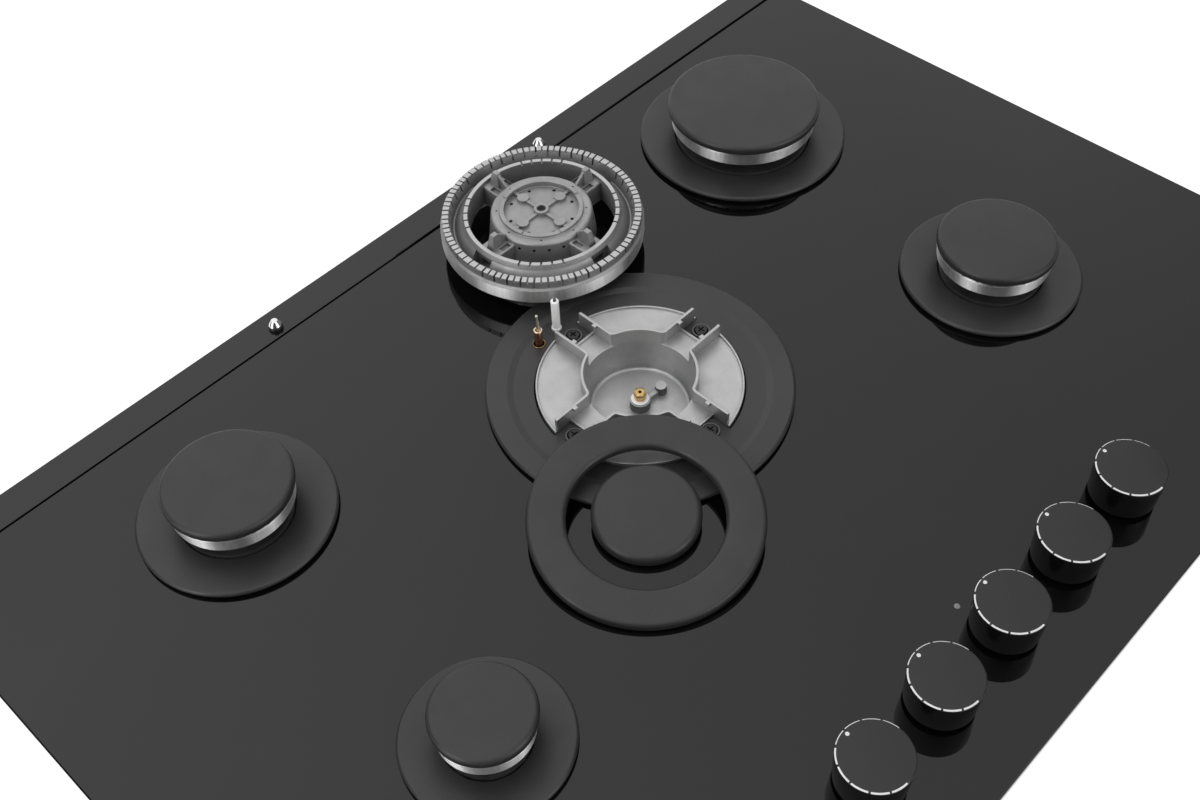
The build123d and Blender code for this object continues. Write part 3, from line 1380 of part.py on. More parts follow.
def knob(at):
    """A hollow knob, wider at the top, with a hub on the stem."""
    cavity_top = KNOB_TOP - KNOB_ROOF_T
    points = [
        (KNOB_HUB_R, KNOB_HUB_FOOT),
        (KNOB_HUB_R, cavity_top),
        (KNOB_FOOT_R - KNOB_WALL_T, cavity_top),
        (KNOB_FOOT_R - KNOB_WALL_T, KNOB_FOOT),
        (KNOB_FOOT_R, KNOB_FOOT),
        (KNOB_R, KNOB_TOP),
        (0, KNOB_TOP),
        (0, KNOB_HUB_FOOT),
    ]
    body = turned(points, [0, 0.5, 1.0, 0, 0.4, KNOB_EDGE_R, 0, 0])
    body -= d_section(STEM_R + FIT, STEM_FLAT + FIT, (0, STEM_TOP))
    return on_glass(at, body)


def knob_seal(at):
    """A rubber grommet in the glass round a stem."""
    points = [
        (SEAL_BORE_R, BOX_H - SEAL_LIP_T),
        (SEAL_LIP_R, BOX_H - SEAL_LIP_T),
        (SEAL_LIP_R, BOX_H),
        (SEAL_R, BOX_H),
        (SEAL_R, GLASS_TOP),
        (SEAL_LIP_R, GLASS_TOP),
        (SEAL_LIP_R, GLASS_TOP + SEAL_LIP_T),
        (SEAL_BORE_R, GLASS_TOP + SEAL_LIP_T),
    ]
    return Pos(at[0], at[1], 0) * turned(points)


# ---------------------------------------------------------------- electrics
def ignition_module():
    """Spark generator on the box's floor, with a terminal for each burner."""
    width, depth, height = IGNITER_SIZE
    case = Pos(0, 0, SHEET_T + height / 2) * Box(width, depth, height)
    case = fillet(case.edges().filter_by(Axis.Z), IGNITER_ROUND)
    top = SHEET_T + height
    for index in range(5):
        case += rod(TERMINAL_R, (top - 1, top + TERMINAL_H), ((index - 2) * TERMINAL_PITCH, 0))
    return Pos(IGNITER_X, BOX_D / 2 - IGNITER_INSET, 0) * case


def cable_gland():
    gland = rod(GLAND_NUT_R, (-SHEET_T - GLAND_NUT_T, -SHEET_T))
    gland += rod(GLAND_R, (-SHEET_T, 0))
    gland += rod(GLAND_NUT_R, (0, GLAND_NUT_T))
    gland -= rod(GLAND_BORE_R, (-FOREVER, FOREVER))
    return backwards(gland, (GLAND_INSET - BOX_W / 2, BOX_D / 2, GLAND_Z))


# ---------------------------------------------------------------- the whole hob
def build():
    nodes = {
        "glass_top": glass_top(),
        "rear_trim": rear_trim(),
        "burner_box": burner_box(),
        "worktop_gasket": worktop_gasket(),
        "trim_studs": group(trim_stud(at) for at in stud_places()),
        "stud_washers": group(stud_washer(at) for at in stud_places()),
        "dish_centre": centre_dish(),
        "cup_centre": centre_cup(),
        "centre_cup_screws": centre_cup_screws(),
        "small_cup_screws": small_cup_screws(),
        "injectors": group(on_glass(place, injector()) for place in burner_places()),
        "injector_washers": group(on_glass(place, injector_washer()) for place in burner_places()),
        "support_rails": support_rails(),
        "valve_bodies": group(valve_body(at) for at in KNOBS.values()),
        "valve_covers": group(valve_cover(at) for at in KNOBS.values()),
        "gas_rail": gas_rail(),
        "gas_tubes": gas_tubes(),
        "gas_inlet": gas_inlet(),
        "ignition_module": ignition_module(),
        "knob_seals": group(knob_seal(at) for at in KNOBS.values()),
        "cable_gland": cable_gland(),
        "crown_centre": centre_crown(),
        "ring_cap": ring_cap(),
        "inner_cap": inner_cap(),
    }
    nodes.update(probe_nodes())
    for name, burner in BURNERS.items():
        nodes["dish_" + name] = small_dish(burner)
        nodes["cup_" + name] = small_cup(burner)
        nodes["crown_" + name] = small_crown(burner)
        nodes["cap_" + name] = small_cap(burner)
    for name, at in KNOBS.items():
        nodes["knob_" + name] = knob(at)
        nodes["stem_" + name] = stem(at)
        nodes["valve_plug_" + name] = valve_plug(at)
    return nodes


os.makedirs("parts", exist_ok=True)
for node_name, solid in build().items():
    export_step(solid, f"parts/{node_name}.step")
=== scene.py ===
"""Looks of a built-in gas cooktop whose centre burner is taken apart.

Lengths are millimetres in the frame of the CAD model until a mesh is made, and metres after that.
Heights of pieces are above the glass. Azimuths and tilts are degrees.
"""

import json
import math
from typing import NamedTuple

import bmesh
import bpy
from mathutils import Matrix, Vector


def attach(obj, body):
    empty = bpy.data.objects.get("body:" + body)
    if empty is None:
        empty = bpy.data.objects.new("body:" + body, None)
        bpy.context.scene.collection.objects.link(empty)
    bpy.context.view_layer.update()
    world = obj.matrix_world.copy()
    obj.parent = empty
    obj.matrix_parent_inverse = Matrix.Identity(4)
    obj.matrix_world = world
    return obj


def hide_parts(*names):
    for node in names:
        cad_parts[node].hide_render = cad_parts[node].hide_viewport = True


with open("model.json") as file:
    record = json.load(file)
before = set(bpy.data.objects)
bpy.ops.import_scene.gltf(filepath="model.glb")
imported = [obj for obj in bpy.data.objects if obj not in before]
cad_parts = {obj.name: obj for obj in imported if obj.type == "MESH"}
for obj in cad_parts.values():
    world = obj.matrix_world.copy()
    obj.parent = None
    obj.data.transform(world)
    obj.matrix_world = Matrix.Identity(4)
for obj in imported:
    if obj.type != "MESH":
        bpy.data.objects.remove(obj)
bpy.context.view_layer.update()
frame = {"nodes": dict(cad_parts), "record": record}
MM = 0.001

# ---------------------------------------------------------------- sizes shared with the CAD model
GLASS_TOP = 58.0
STUD_PLACES = ((-118.5, 249.9), (118.5, 249.9))
CENTRE = (1.0, 43.9)
CENTRE_ELECTRODE = (-1.3, 70.1)        # from the burner's middle, as the next place is
CENTRE_THERMOCOUPLE = (-18.4, 68.6)
CENTRE_DISH_R = 95.0
DISH_RIM_H = 4.4
DISH_ROUND = 1.8
DISH_GAP = 0.8                         # between a dish's opening and what passes through it
SCREW_RING_R = 56.6                    # the four screws of the centre dish stand on it
CUP_WALL_H = 14.1                      # walls of the centre cup's channels
CUP_WALL_TIP_R = 61.0
CUP_WALL_OUT = 11.6                    # from a channel's middle to its walls' outer faces
INJECTOR_SEAT = -11.2                  # top of an injector's washer seat
CROWN_PLACE = (51.0, 176.9)            # the loose crown
REST_GAP = 0.3                         # hair between a loose cap and what it rests on
PROBE_HOLE_R = 3.6
PROBE_OUT = 5.0                        # from a small burner's band to its probes
PROBE_SPREAD = 12.0                    # azimuth from the middle between the two probes to each


class Burner(NamedTuple):
    """A small burner: place, radii of its forms, number of flame slots, azimuth of its probes."""

    place: tuple
    cap_r: float
    band_r: float
    dish_r: float
    drum_r: float
    slots: int
    probes_at: float


BURNERS = {
    "rear_left": Burner((-223.7, 149.9), 38.1, 36.8, 58.6, 18.0, 24, 69.0),
    "rear_right": Burner((223.7, 149.9), 53.0, 51.0, 73.0, 26.0, 36, 38.0),
    "front_right": Burner((223.7, -58.4), 38.1, 36.8, 58.6, 18.0, 24, 24.0),
    "front_left": Burner((-223.7, -58.4), 28.5, 27.2, 47.0, 13.0, 18, 57.0),
}
CAP_LOW = 25.6
CAP_TOP = 31.6
BAND_LOW = 14.8

KNOB_NAMES = ("front_left", "rear_left", "centre", "rear_right", "front_right")
KNOB_MIDDLE = (7.4, -212.2)
KNOB_PITCH = 58.7
KNOBS = {
    name: (KNOB_MIDDLE[0] + KNOB_PITCH * step, KNOB_MIDDLE[1])
    for step, name in enumerate(KNOB_NAMES, -2)
}
KNOB_R = 20.0
KNOB_TOP = 25.0


# ---------------------------------------------------------------- mesh kit
def polar(radius, azimuth):
    turn = math.radians(azimuth)
    return (radius * math.cos(turn), radius * math.sin(turn))


def rounded(points, radii, steps=5):
    """A closed outline with its corners rounded."""
    outline = []
    for index, (point, radius) in enumerate(zip(points, radii)):
        corner = Vector(point)
        before = (Vector(points[index - 1]) - corner).normalized()
        after = (Vector(points[(index + 1) % len(points)]) - corner).normalized()
        if radius <= 0 or before.angle(after) > math.pi - 0.01:
            outline.append(tuple(point))
            continue
        half = before.angle(after) / 2
        centre = corner + (before + after).normalized() * radius / math.sin(half)
        first = corner + before * radius / math.tan(half) - centre
        last = corner + after * radius / math.tan(half) - centre
        sweep = first.angle_signed(last)
        for step in range(steps + 1):
            turn = -sweep * step / steps
            spoke = Vector(
                (
                    first.x * math.cos(turn) - first.y * math.sin(turn),
                    first.x * math.sin(turn) + first.y * math.cos(turn),
                )
            )
            outline.append(tuple(centre + spoke))
    return outline


class Form:
    """Closed shells gathered for one mesh."""

    def __init__(self):
        self.points = []
        self.faces = []

    def add(self, points, faces, place=None):
        first = len(self.points)
        place = place or Matrix()
        self.points += [place @ Vector(point) for point in points]
        self.faces += [tuple(first + index for index in face) for face in faces]
        return self

    def turned(self, outline, segments=96, place=None, angles=None):
        """An outline of (radius, height) points turned about Z.

        angles may give (azimuth, drop) pairs. A third number in an outline point says how much of
        that drop its height takes.
        """
        angles = angles or [(360 * index / segments, 0) for index in range(segments)]
        count = len(outline)
        points = []
        for azimuth, drop in angles:
            for point in outline:
                share = point[2] if len(point) > 2 else 0
                x, y = polar(point[0], azimuth)
                points.append((x, y, point[1] - share * drop))
        faces = []
        on_axis = [abs(point[0]) < 1e-6 for point in outline]
        for turn in range(len(angles)):
            here = turn * count
            there = (turn + 1) % len(angles) * count
            for row in range(count):
                up = (row + 1) % count
                if on_axis[row] and on_axis[up]:
                    continue
                if on_axis[row]:
                    faces.append((row, there + up, here + up))
                elif on_axis[up]:
                    faces.append((here + row, there + row, up))
                else:
                    faces.append((here + row, there + row, there + up, here + up))
        return self.add(points, faces, place)

    def sector(self, outline, start, end, step=3.0, place=None):
        """Part of a turned ring, closed at both ends."""
        spans = max(2, math.ceil(abs(end - start) / step))
        count = len(outline)
        points = []
        for index in range(spans + 1):
            azimuth = start + (end - start) * index / spans
            for radius, height in outline:
                points.append((*polar(radius, azimuth), height))
        faces = [tuple(range(count)), tuple(range(spans * count, (spans + 1) * count))]
        for turn in range(spans):
            here, there = turn * count, (turn + 1) * count
            for row in range(count):
                up = (row + 1) % count
                faces.append((here + row, there + row, there + up, here + up))
        return self.add(points, faces, place)

    def prism(self, outline, low, high, place=None):
        """An outline of (x, y) points between two heights."""
        count = len(outline)
        points = [(x, y, low) for x, y in outline] + [(x, y, high) for x, y in outline]
        faces = [tuple(range(count))[::-1], tuple(range(count, 2 * count))]
        for index in range(count):
            after = (index + 1) % count
            faces.append((index, after, count + after, count + index))
        return self.add(points, faces, place)

    def moved(self, place):
        self.points = [place @ point for point in self.points]
        return self

    def mesh(self, name):
        mesh = bpy.data.meshes.new(name)
        mesh.from_pydata([point * MM for point in self.points], [], self.faces)
        mesh.validate()
        shells = bmesh.new()
        shells.from_mesh(mesh)
        bmesh.ops.delete(shells, geom=[v for v in shells.verts if not v.link_faces], context="VERTS")
        bmesh.ops.recalc_face_normals(shells, faces=shells.faces)
        shells.to_mesh(mesh)
        shells.free()
        return mesh


def applied(thing):
    """The thing with its modifiers made part of its mesh."""
    bpy.context.view_layer.update()
    graph = bpy.context.evaluated_depsgraph_get()
    mesh = bpy.data.meshes.new_from_object(thing.evaluated_get(graph), depsgraph=graph)
    thing.modifiers.clear()
    thing.data = mesh
    return thing


def add_thing(name, form):
    thing = bpy.data.objects.new(name, form.mesh(name))
    bpy.context.scene.collection.objects.link(thing)
    return thing


def piece(name, form, finish, body, nodes=(), cut=None, bevel=0.0, sharp=32.0):
    """Make one piece of the model from a form, less what a second form cuts away."""
    thing = add_thing(name, form)
    if cut:
        cutter = add_thing(name + "_cutter", cut)
        carve = thing.modifiers.new("carve", "BOOLEAN")
        carve.operation = "DIFFERENCE"
        carve.solver = "EXACT"
        carve.use_self = True
        carve.object = cutter
        applied(thing)
        bpy.data.objects.remove(cutter)
    if bevel:
        soften = thing.modifiers.new("soften", "BEVEL")
        soften.width = bevel * MM
        soften.segments = 2
        soften.limit_method = "ANGLE"
        soften.angle_limit = math.radians(40)
        applied(thing)
    thing.data.shade_smooth()
    thing.data.set_sharp_from_angle(angle=math.radians(sharp))
    thing.data.name = name
    set_finish(thing, finish)
    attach(thing, body)
    if nodes:
        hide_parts(*nodes)
    return thing


def set_finish(thing, finish):
    thing.data.materials.clear()
    thing.data.materials.append(FINISHES[finish])


def at_glass(place, height=0.0):
    return Matrix.Translation((place[0], place[1], GLASS_TOP + height))


def beside(place, offset):
    return (place[0] + offset[0], place[1] + offset[1])


def turned_by(azimuth):
    return Matrix.Rotation(math.radians(azimuth), 4, "Z")


# ---------------------------------------------------------------- shader nodes
# Each function takes the material, or the world, whose nodes it adds to.
MIX_NUMBERS = (0, 2, 3)                # inputs of a Mix node: the share, then the two numbers
MIX_COLOURS = (0, 6, 7)                # and the share, then the two colours


def new_material(name, colour, roughness, metallic=0.0, specular=0.5):
    material = bpy.data.materials.new(name)
    material.use_nodes = True
    shader = shader_of(material)
    shader.inputs["Base Color"].default_value = (*colour, 1)
    shader.inputs["Roughness"].default_value = roughness
    shader.inputs["Metallic"].default_value = metallic
    shader.inputs["Specular IOR Level"].default_value = specular
    return material


def shader_of(material):
    return material.node_tree.nodes["Principled BSDF"]


def node(material, kind, **settings):
    """A new node; each setting is one of its properties or the value of an input."""
    made = material.node_tree.nodes.new(kind)
    for key, value in settings.items():
        if hasattr(made, key):
            setattr(made, key, value)
        else:
            made.inputs[key.replace("_", " ")].default_value = value
    return made


def link(material, source, target):
    material.node_tree.links.new(source, target)


def put(material, value, target):
    """Give an input a value, or link it to where the value comes from."""
    if isinstance(value, bpy.types.NodeSocket):
        link(material, value, target)
    else:
        target.default_value = value


def maths(material, operation, *values):
    made = node(material, "ShaderNodeMath", operation=operation)
    for value, target in zip(values, made.inputs):
        put(material, value, target)
    return made.outputs[0]


def vector_maths(material, operation, *values):
    made = node(material, "ShaderNodeVectorMath", operation=operation)
    for value, target in zip(values, made.inputs):
        put(material, value, target)
    gives_number = operation in ("DOT_PRODUCT", "LENGTH")
    return made.outputs["Value" if gives_number else "Vector"]


def upright_part(material, vector):
    parts = node(material, "ShaderNodeSeparateXYZ")
    link(material, vector, parts.inputs[0])
    return parts.outputs["Z"]


def blended(material, share, first, second):
    """A number between two numbers."""
    made = node(material, "ShaderNodeMix", data_type="FLOAT")
    for index, value in zip(MIX_NUMBERS, (share, first, second)):
        put(material, value, made.inputs[index])
    return made.outputs[0]


def mixed(material, share, first, second):
    """A colour between two colours."""
    made = node(material, "ShaderNodeMix", data_type="RGBA")
    for index, value in zip(MIX_COLOURS, (share, first, second)):
        put(material, (*value, 1) if isinstance(value, tuple) else value, made.inputs[index])
    return made.outputs[2]


def shown_between(material, share, first, second):
    """The output of two shaders mixed."""
    made = node(material, "ShaderNodeMixShader")
    for value, target in zip((share, first, second), made.inputs):
        link(material, value, target)
    return made.outputs[0]


def object_space(material, stretch=(1, 1, 1)):
    """Object coordinates in metres, stretched for streaks."""
    place = node(material, "ShaderNodeTexCoord")
    return vector_maths(material, "MULTIPLY", place.outputs["Object"], stretch)


def noise(material, space, scale, detail=3.0, rough=0.55):
    made = node(material, "ShaderNodeTexNoise", Scale=scale, Detail=detail, Roughness=rough)
    link(material, space, made.inputs["Vector"])
    return made.outputs["Fac"]


def spread(material, value, low, high, source=(0.3, 0.7)):
    """A noise value mapped to a range."""
    made = node(material, "ShaderNodeMapRange")
    made.inputs["From Min"].default_value = source[0]
    made.inputs["From Max"].default_value = source[1]
    made.inputs["To Min"].default_value = low
    made.inputs["To Max"].default_value = high
    link(material, value, made.inputs["Value"])
    return made.outputs["Result"]


def mottled(material, dark, light, patch, grain, share=0.35, stretch=(1, 1, 1)):
    """Base colour that drifts in patches and in a fine grain."""
    space = object_space(material, stretch)
    drift = spread(material, noise(material, space, patch), 0, 1)
    fine = spread(material, noise(material, space, grain, 2.0), 0, 1)
    colour = mixed(material, blended(material, share, drift, fine), dark, light)
    link(material, colour, shader_of(material).inputs["Base Color"])
    return space


def rough_between(material, space, low, high, scale):
    value = spread(material, noise(material, space, scale), low, high)
    link(material, value, shader_of(material).inputs["Roughness"])


def bumped(material, space, scale, distance, strength=0.5):
    """Relief from a noise; distance in millimetres."""
    relief = node(material, "ShaderNodeBump", Strength=strength, Distance=distance * MM)
    link(material, noise(material, space, scale), relief.inputs["Height"])
    link(material, relief.outputs["Normal"], shader_of(material).inputs["Normal"])


# ---------------------------------------------------------------- finishes
FINISHES = {}
ROUGHNESS_SCALE = 2.7                  # roughness drifts in patches this much finer than colour


def grey(level):
    return (level, level, level)


def add_finish(name, dark, light, roughness, metallic=0.0, patch=30.0, grain=1500.0, relief=0.02,
               share=0.4, strength=0.5, stretch=(1, 1, 1), specular=0.5):
    """A material with patches, a grain and a roughness that follow one space."""
    material = new_material(name, light, sum(roughness) / 2, metallic, specular)
    space = mottled(material, dark, light, patch, grain, share, stretch)
    rough_between(material, space, *roughness, patch * ROUGHNESS_SCALE)
    bumped(material, space, grain, relief, strength)
    FINISHES[name] = material


def set_turned(material):
    """Grooves that run round the object's own upright axis and spread what they mirror upright."""
    shader = shader_of(material)
    shader.inputs["Anisotropic"].default_value = 1.0
    shader.inputs["Anisotropic Rotation"].default_value = 0.25
    around = node(material, "ShaderNodeTangent", direction_type="RADIAL", axis="Z")
    link(material, around.outputs["Tangent"], shader.inputs["Tangent"])


def set_softened(material, radius):
    """Edges that shade as if rounded; radius in millimetres."""
    edge = node(material, "ShaderNodeBevel", Radius=radius * MM)
    edge.samples = 6
    relief = shader_of(material).inputs["Normal"].links[0].from_node
    link(material, edge.outputs["Normal"], relief.inputs["Normal"])


def paint_recess_shade(material, reach, share):
    """Painted shade, darker metal where walls stand close; reach in millimetres, share of colour left
    there.
    """
    recess_shade = node(material, "ShaderNodeAmbientOcclusion", Distance=reach * MM)
    recess_shade.samples = 8
    recess_shade.only_local = True
    left = spread(material, recess_shade.outputs["AO"], share, 1.0, (0.25, 0.85))
    colour = shader_of(material).inputs["Base Color"]
    scaled = node(material, "ShaderNodeVectorMath", operation="SCALE")
    link(material, colour.links[0].from_socket, scaled.inputs[0])
    link(material, left, scaled.inputs["Scale"])
    link(material, scaled.outputs[0], colour)


def set_machined(material, place, inner_r, low, bright):
    """Level faces outside a radius and above a height, milled brighter than the cast metal."""
    space = node(material, "ShaderNodeTexCoord")
    middle = (place[0] * MM, place[1] * MM, 0)
    spoke = vector_maths(material, "SUBTRACT", space.outputs["Object"], middle)
    flat_spoke = vector_maths(material, "MULTIPLY", spoke, (1, 1, 0))
    reach = vector_maths(material, "LENGTH", flat_spoke)
    outside = spread(material, reach, 0, 1, (inner_r * MM, (inner_r + 0.2) * MM))
    level = spread(material, upright_part(material, space.outputs["Normal"]), 0, 1, (0.93, 0.98))
    height = upright_part(material, space.outputs["Object"])
    above = spread(material, height, 0, 1, (low * MM, (low + 0.1) * MM))
    mask = maths(material, "MULTIPLY", maths(material, "MULTIPLY", outside, level), above)
    colour = shader_of(material).inputs["Base Color"]
    link(material, mixed(material, mask, colour.links[0].from_socket, bright), colour)


add_finish(
    "black_glass", (0.0015, 0.0015, 0.0016), (0.0030, 0.0030, 0.0032), (0.010, 0.030),
    patch=9.0, grain=260.0, relief=0.0004, share=0.3, strength=0.15,
)
add_finish(
    "trim_black", grey(0.004), grey(0.007), (0.06, 0.12),
    patch=14.0, grain=900.0, relief=0.002, strength=0.2,
)
add_finish(
    "box_steel", (0.40, 0.41, 0.41), (0.55, 0.56, 0.56), (0.30, 0.46), 1.0,
    patch=60.0, grain=420.0, relief=0.01, stretch=(1, 1, 0.6),
)
add_finish(
    "foam", (0.020, 0.020, 0.021), (0.055, 0.055, 0.057), (0.85, 0.97),
    patch=90.0, grain=1900.0, relief=0.25, strength=0.8,
)
add_finish(
    "stud_chrome", (0.72, 0.72, 0.73), (0.85, 0.85, 0.86), (0.05, 0.12), 1.0,
    patch=120.0, grain=2500.0, relief=0.001, strength=0.2,
)
add_finish(
    "washer_black", grey(0.010), grey(0.018), (0.22, 0.35),
    patch=200.0, grain=2600.0, relief=0.01,
)
add_finish(
    "dish_enamel", (0.022, 0.022, 0.023), (0.034, 0.034, 0.035), (0.34, 0.46),
    patch=16.0, grain=1400.0, relief=0.012, share=0.55,
)
add_finish(
    "cap_enamel", (0.019, 0.019, 0.0200), (0.031, 0.031, 0.0325), (0.36, 0.48),
    patch=26.0, grain=1700.0, relief=0.016, share=0.6,
)
add_finish(
    "cup_cast", (0.46, 0.46, 0.465), grey(0.62), (0.38, 0.52), 0.9,
    patch=55.0, grain=1500.0, relief=0.05, share=0.55,
)
# Cast metal painted dark as the shade inside small crowns and their cups.
add_finish(
    "cast_shaded", grey(0.06), grey(0.12), (0.50, 0.65), 0.8,
    patch=55.0, grain=1500.0, relief=0.05,
)
add_finish(
    "crown_cast", grey(0.30), grey(0.44), (0.42, 0.56), 0.75,
    patch=60.0, grain=1700.0, relief=0.05, share=0.5,
)
# Its colour drifts in upright streaks: painted reflection, beside the real streaks from the sky panels.
add_finish(
    "band_polished", grey(0.58), grey(0.80), (0.40, 0.50), 1.0,
    patch=70.0, grain=700.0, relief=0.004, share=0.5, stretch=(1, 1, 0.05),
)
add_finish(
    "screw_black", grey(0.003), grey(0.008), (0.22, 0.34), 0.0,
    patch=300.0, grain=2600.0, relief=0.01,
)
add_finish(
    "screw_steel", (0.45, 0.45, 0.44), (0.62, 0.62, 0.61), (0.25, 0.38), 1.0,
    patch=200.0, grain=2600.0, relief=0.01,
)
add_finish(
    "brass", (0.52, 0.34, 0.13), (0.80, 0.58, 0.25), (0.18, 0.34), 1.0,
    patch=160.0, grain=2400.0, relief=0.01,
)
add_finish(
    "washer_white", grey(0.93), grey(0.97), (0.12, 0.20),
    patch=200.0, grain=2400.0, relief=0.01,
)
add_finish(
    "ceramic", (0.90, 0.90, 0.89), (0.96, 0.96, 0.955), (0.14, 0.22),
    patch=150.0, grain=1800.0, relief=0.004, strength=0.2,
)
add_finish(
    "probe_steel", (0.42, 0.41, 0.40), (0.62, 0.61, 0.59), (0.26, 0.40), 1.0,
    patch=200.0, grain=2600.0, relief=0.01,
)
add_finish(
    "copper", (0.20, 0.09, 0.05), (0.46, 0.23, 0.13), (0.22, 0.36), 0.95,
    patch=180.0, grain=1800.0, relief=0.01, stretch=(1, 1, 0.3),
)
add_finish(
    "rail_steel", (0.38, 0.39, 0.39), (0.56, 0.57, 0.57), (0.32, 0.48), 1.0,
    patch=70.0, grain=500.0, relief=0.01, stretch=(0.4, 1, 1),
)
add_finish(
    "valve_cast", grey(0.36), (0.55, 0.55, 0.54), (0.40, 0.55), 0.85,
    patch=90.0, grain=1500.0, relief=0.05,
)
add_finish(
    "tube_aluminium", grey(0.55), grey(0.76), (0.26, 0.40), 1.0,
    patch=90.0, grain=900.0, relief=0.01,
)
add_finish(
    "module_plastic", (0.52, 0.51, 0.47), (0.62, 0.61, 0.57), (0.42, 0.55),
    patch=40.0, grain=1800.0, relief=0.02,
)
add_finish(
    "rubber_black", grey(0.014), grey(0.028), (0.62, 0.78),
    patch=120.0, grain=1600.0, relief=0.03,
)
add_finish(
    "knob_plastic", grey(0.0030), grey(0.0055), (0.14, 0.22),
    patch=60.0, grain=1500.0, relief=0.004, strength=0.3, specular=0.60,
)
add_finish(
    "brass_bright", (0.80, 0.62, 0.40), (0.95, 0.80, 0.60), (0.16, 0.26), 1.0,
    patch=160.0, grain=2400.0, relief=0.01,
)
add_finish(
    "needle_pale", (0.62, 0.56, 0.48), (0.85, 0.79, 0.70), (0.24, 0.36), 1.0,
    patch=200.0, grain=2600.0, relief=0.01,
)
# Painted shade for the sides of the bowl's bosses.
add_finish(
    "boss_painted_shade", grey(0.13), grey(0.20), (0.45, 0.58), 0.9,
    patch=90.0, grain=1500.0, relief=0.04,
)
# Painted shade: black for hole mouths, bores and gaps that stand in shade.
add_finish(
    "black_painted_shade", grey(0.0005), grey(0.0012), (0.85, 0.95),
    patch=200.0, grain=1800.0, relief=0.002, specular=0.05,
)
add_finish(
    "tip_dark", grey(0.06), (0.14, 0.135, 0.13), (0.30, 0.44), 0.9,
    patch=200.0, grain=2400.0, relief=0.01,
)
# Painted highlight for the tops of the centre dish's screw rings.
add_finish(
    "enamel_painted_highlight", (0.075, 0.075, 0.076), (0.105, 0.105, 0.106), (0.20, 0.30),
    patch=40.0, grain=1700.0, relief=0.006,
)
add_finish(
    "print_white", grey(0.66), grey(0.80), (0.40, 0.55),
    patch=120.0, grain=1800.0, relief=0.004,
)
add_finish(
    "print_grey", grey(0.20), grey(0.28), (0.40, 0.55),
    patch=120.0, grain=1800.0, relief=0.004,
)

# Machined rings of the loose crown: the inner one's radius, and what its teeth stand above.
MACHINED_R = 47.5
MACHINED_LOW = 28.3
SOFT_EDGES = {"cup_cast": 0.7, "crown_cast": 0.5, "brass": 0.3, "screw_black": 0.3}

set_turned(FINISHES["band_polished"])
set_machined(FINISHES["crown_cast"], CROWN_PLACE, MACHINED_R, GLASS_TOP + MACHINED_LOW, grey(0.56))
# Painted shade in the hollows of the cup and of the loose crown.
paint_recess_shade(FINISHES["cup_cast"], 14.0, 0.58)
paint_recess_shade(FINISHES["crown_cast"], 7.0, 0.60)
for soft_name, edge_r in SOFT_EDGES.items():
    set_softened(FINISHES[soft_name], edge_r)

for entry in frame["record"]["subparts"]:
    set_finish(frame["nodes"][entry["node"]], entry["material_slot"])


# ---------------------------------------------------------------- setting
# The camera that took the photo: place in metres, turns in radians, lens and sensor in millimetres.
CAMERA_PLACE = (-0.4106, -0.3440, 0.7201)
CAMERA_YAW = 0.7713161
CAMERA_PITCH = 0.8724562
CAMERA_ROLL = -0.0488456
CAMERA_LENS = 42.79
CAMERA_SENSOR = 36.0

FLOOR_HALF = 4000.0
FLOOR_LEVEL = -0.4                     # just under the burner box
FLOOR_T = 19.6
# The floor as the camera and mirrors see it: how bright, and what share of it is that.
FLOOR_GLOW = 1.2
FLOOR_GLOW_SHARE = 0.8

# Two directions that the sky brightens towards, and for each its least and most brightness and the
# cosines of the angle from that direction between which it rises.
SKY_MIDDLE = (0.45, 0.46, 0.77)
SKY_LOBE = (0.42, 0.95, (-0.2, 0.9))
SKY_REAR = (-0.80, 0.45, 0.20)
SKY_REAR_GAIN = (0.90, 1.45, (-0.25, 0.55))
# Low down the sky is dark but for soft panels: azimuth, half angles of full and of no brightness,
# and gain. They give way to the open sky between two heights.
SKY_LOW = 0.12
SKY_HEIGHTS = (0.60, 0.80)
SKY_PANELS = (
    (175.0, 4.0, 24.0, 2.9),
    (280.0, 6.0, 34.0, 3.0),
    (46.0, 22.0, 56.0, 0.88),
)
# Lamps: name, place and diameter in metres, watts, and whether they are mirrored. The key isn't,
# so no disc shows in the glass.
LAMPS = (
    ("key", (-0.9, 1.3, 1.6), 1.0, 9.0, False),
    ("side", (-1.8, 0.1, 0.9), 0.6, 3.0, True),
    ("glint", (0.35, -1.65, 0.85), 0.5, 2.0, True),
)
LAMP_AIM = (0, 0, 0.05)


def set_camera():
    level = math.cos(CAMERA_PITCH)
    ahead = Vector((math.sin(CAMERA_YAW) * level, math.cos(CAMERA_YAW) * level, -math.sin(CAMERA_PITCH)))
    side = Vector((math.cos(CAMERA_YAW), -math.sin(CAMERA_YAW), 0))
    up = side.cross(ahead)
    rolled_side = side * math.cos(CAMERA_ROLL) + up * math.sin(CAMERA_ROLL)
    rolled_up = up * math.cos(CAMERA_ROLL) - side * math.sin(CAMERA_ROLL)
    data = bpy.data.cameras.new("camera")
    data.lens = CAMERA_LENS
    data.sensor_width = CAMERA_SENSOR
    camera = bpy.data.objects.new("camera", data)
    turn = Matrix((rolled_side, rolled_up, -ahead)).transposed().to_4x4()
    camera.matrix_world = Matrix.Translation(CAMERA_PLACE) @ turn
    bpy.context.scene.collection.objects.link(camera)
    bpy.context.scene.camera = camera


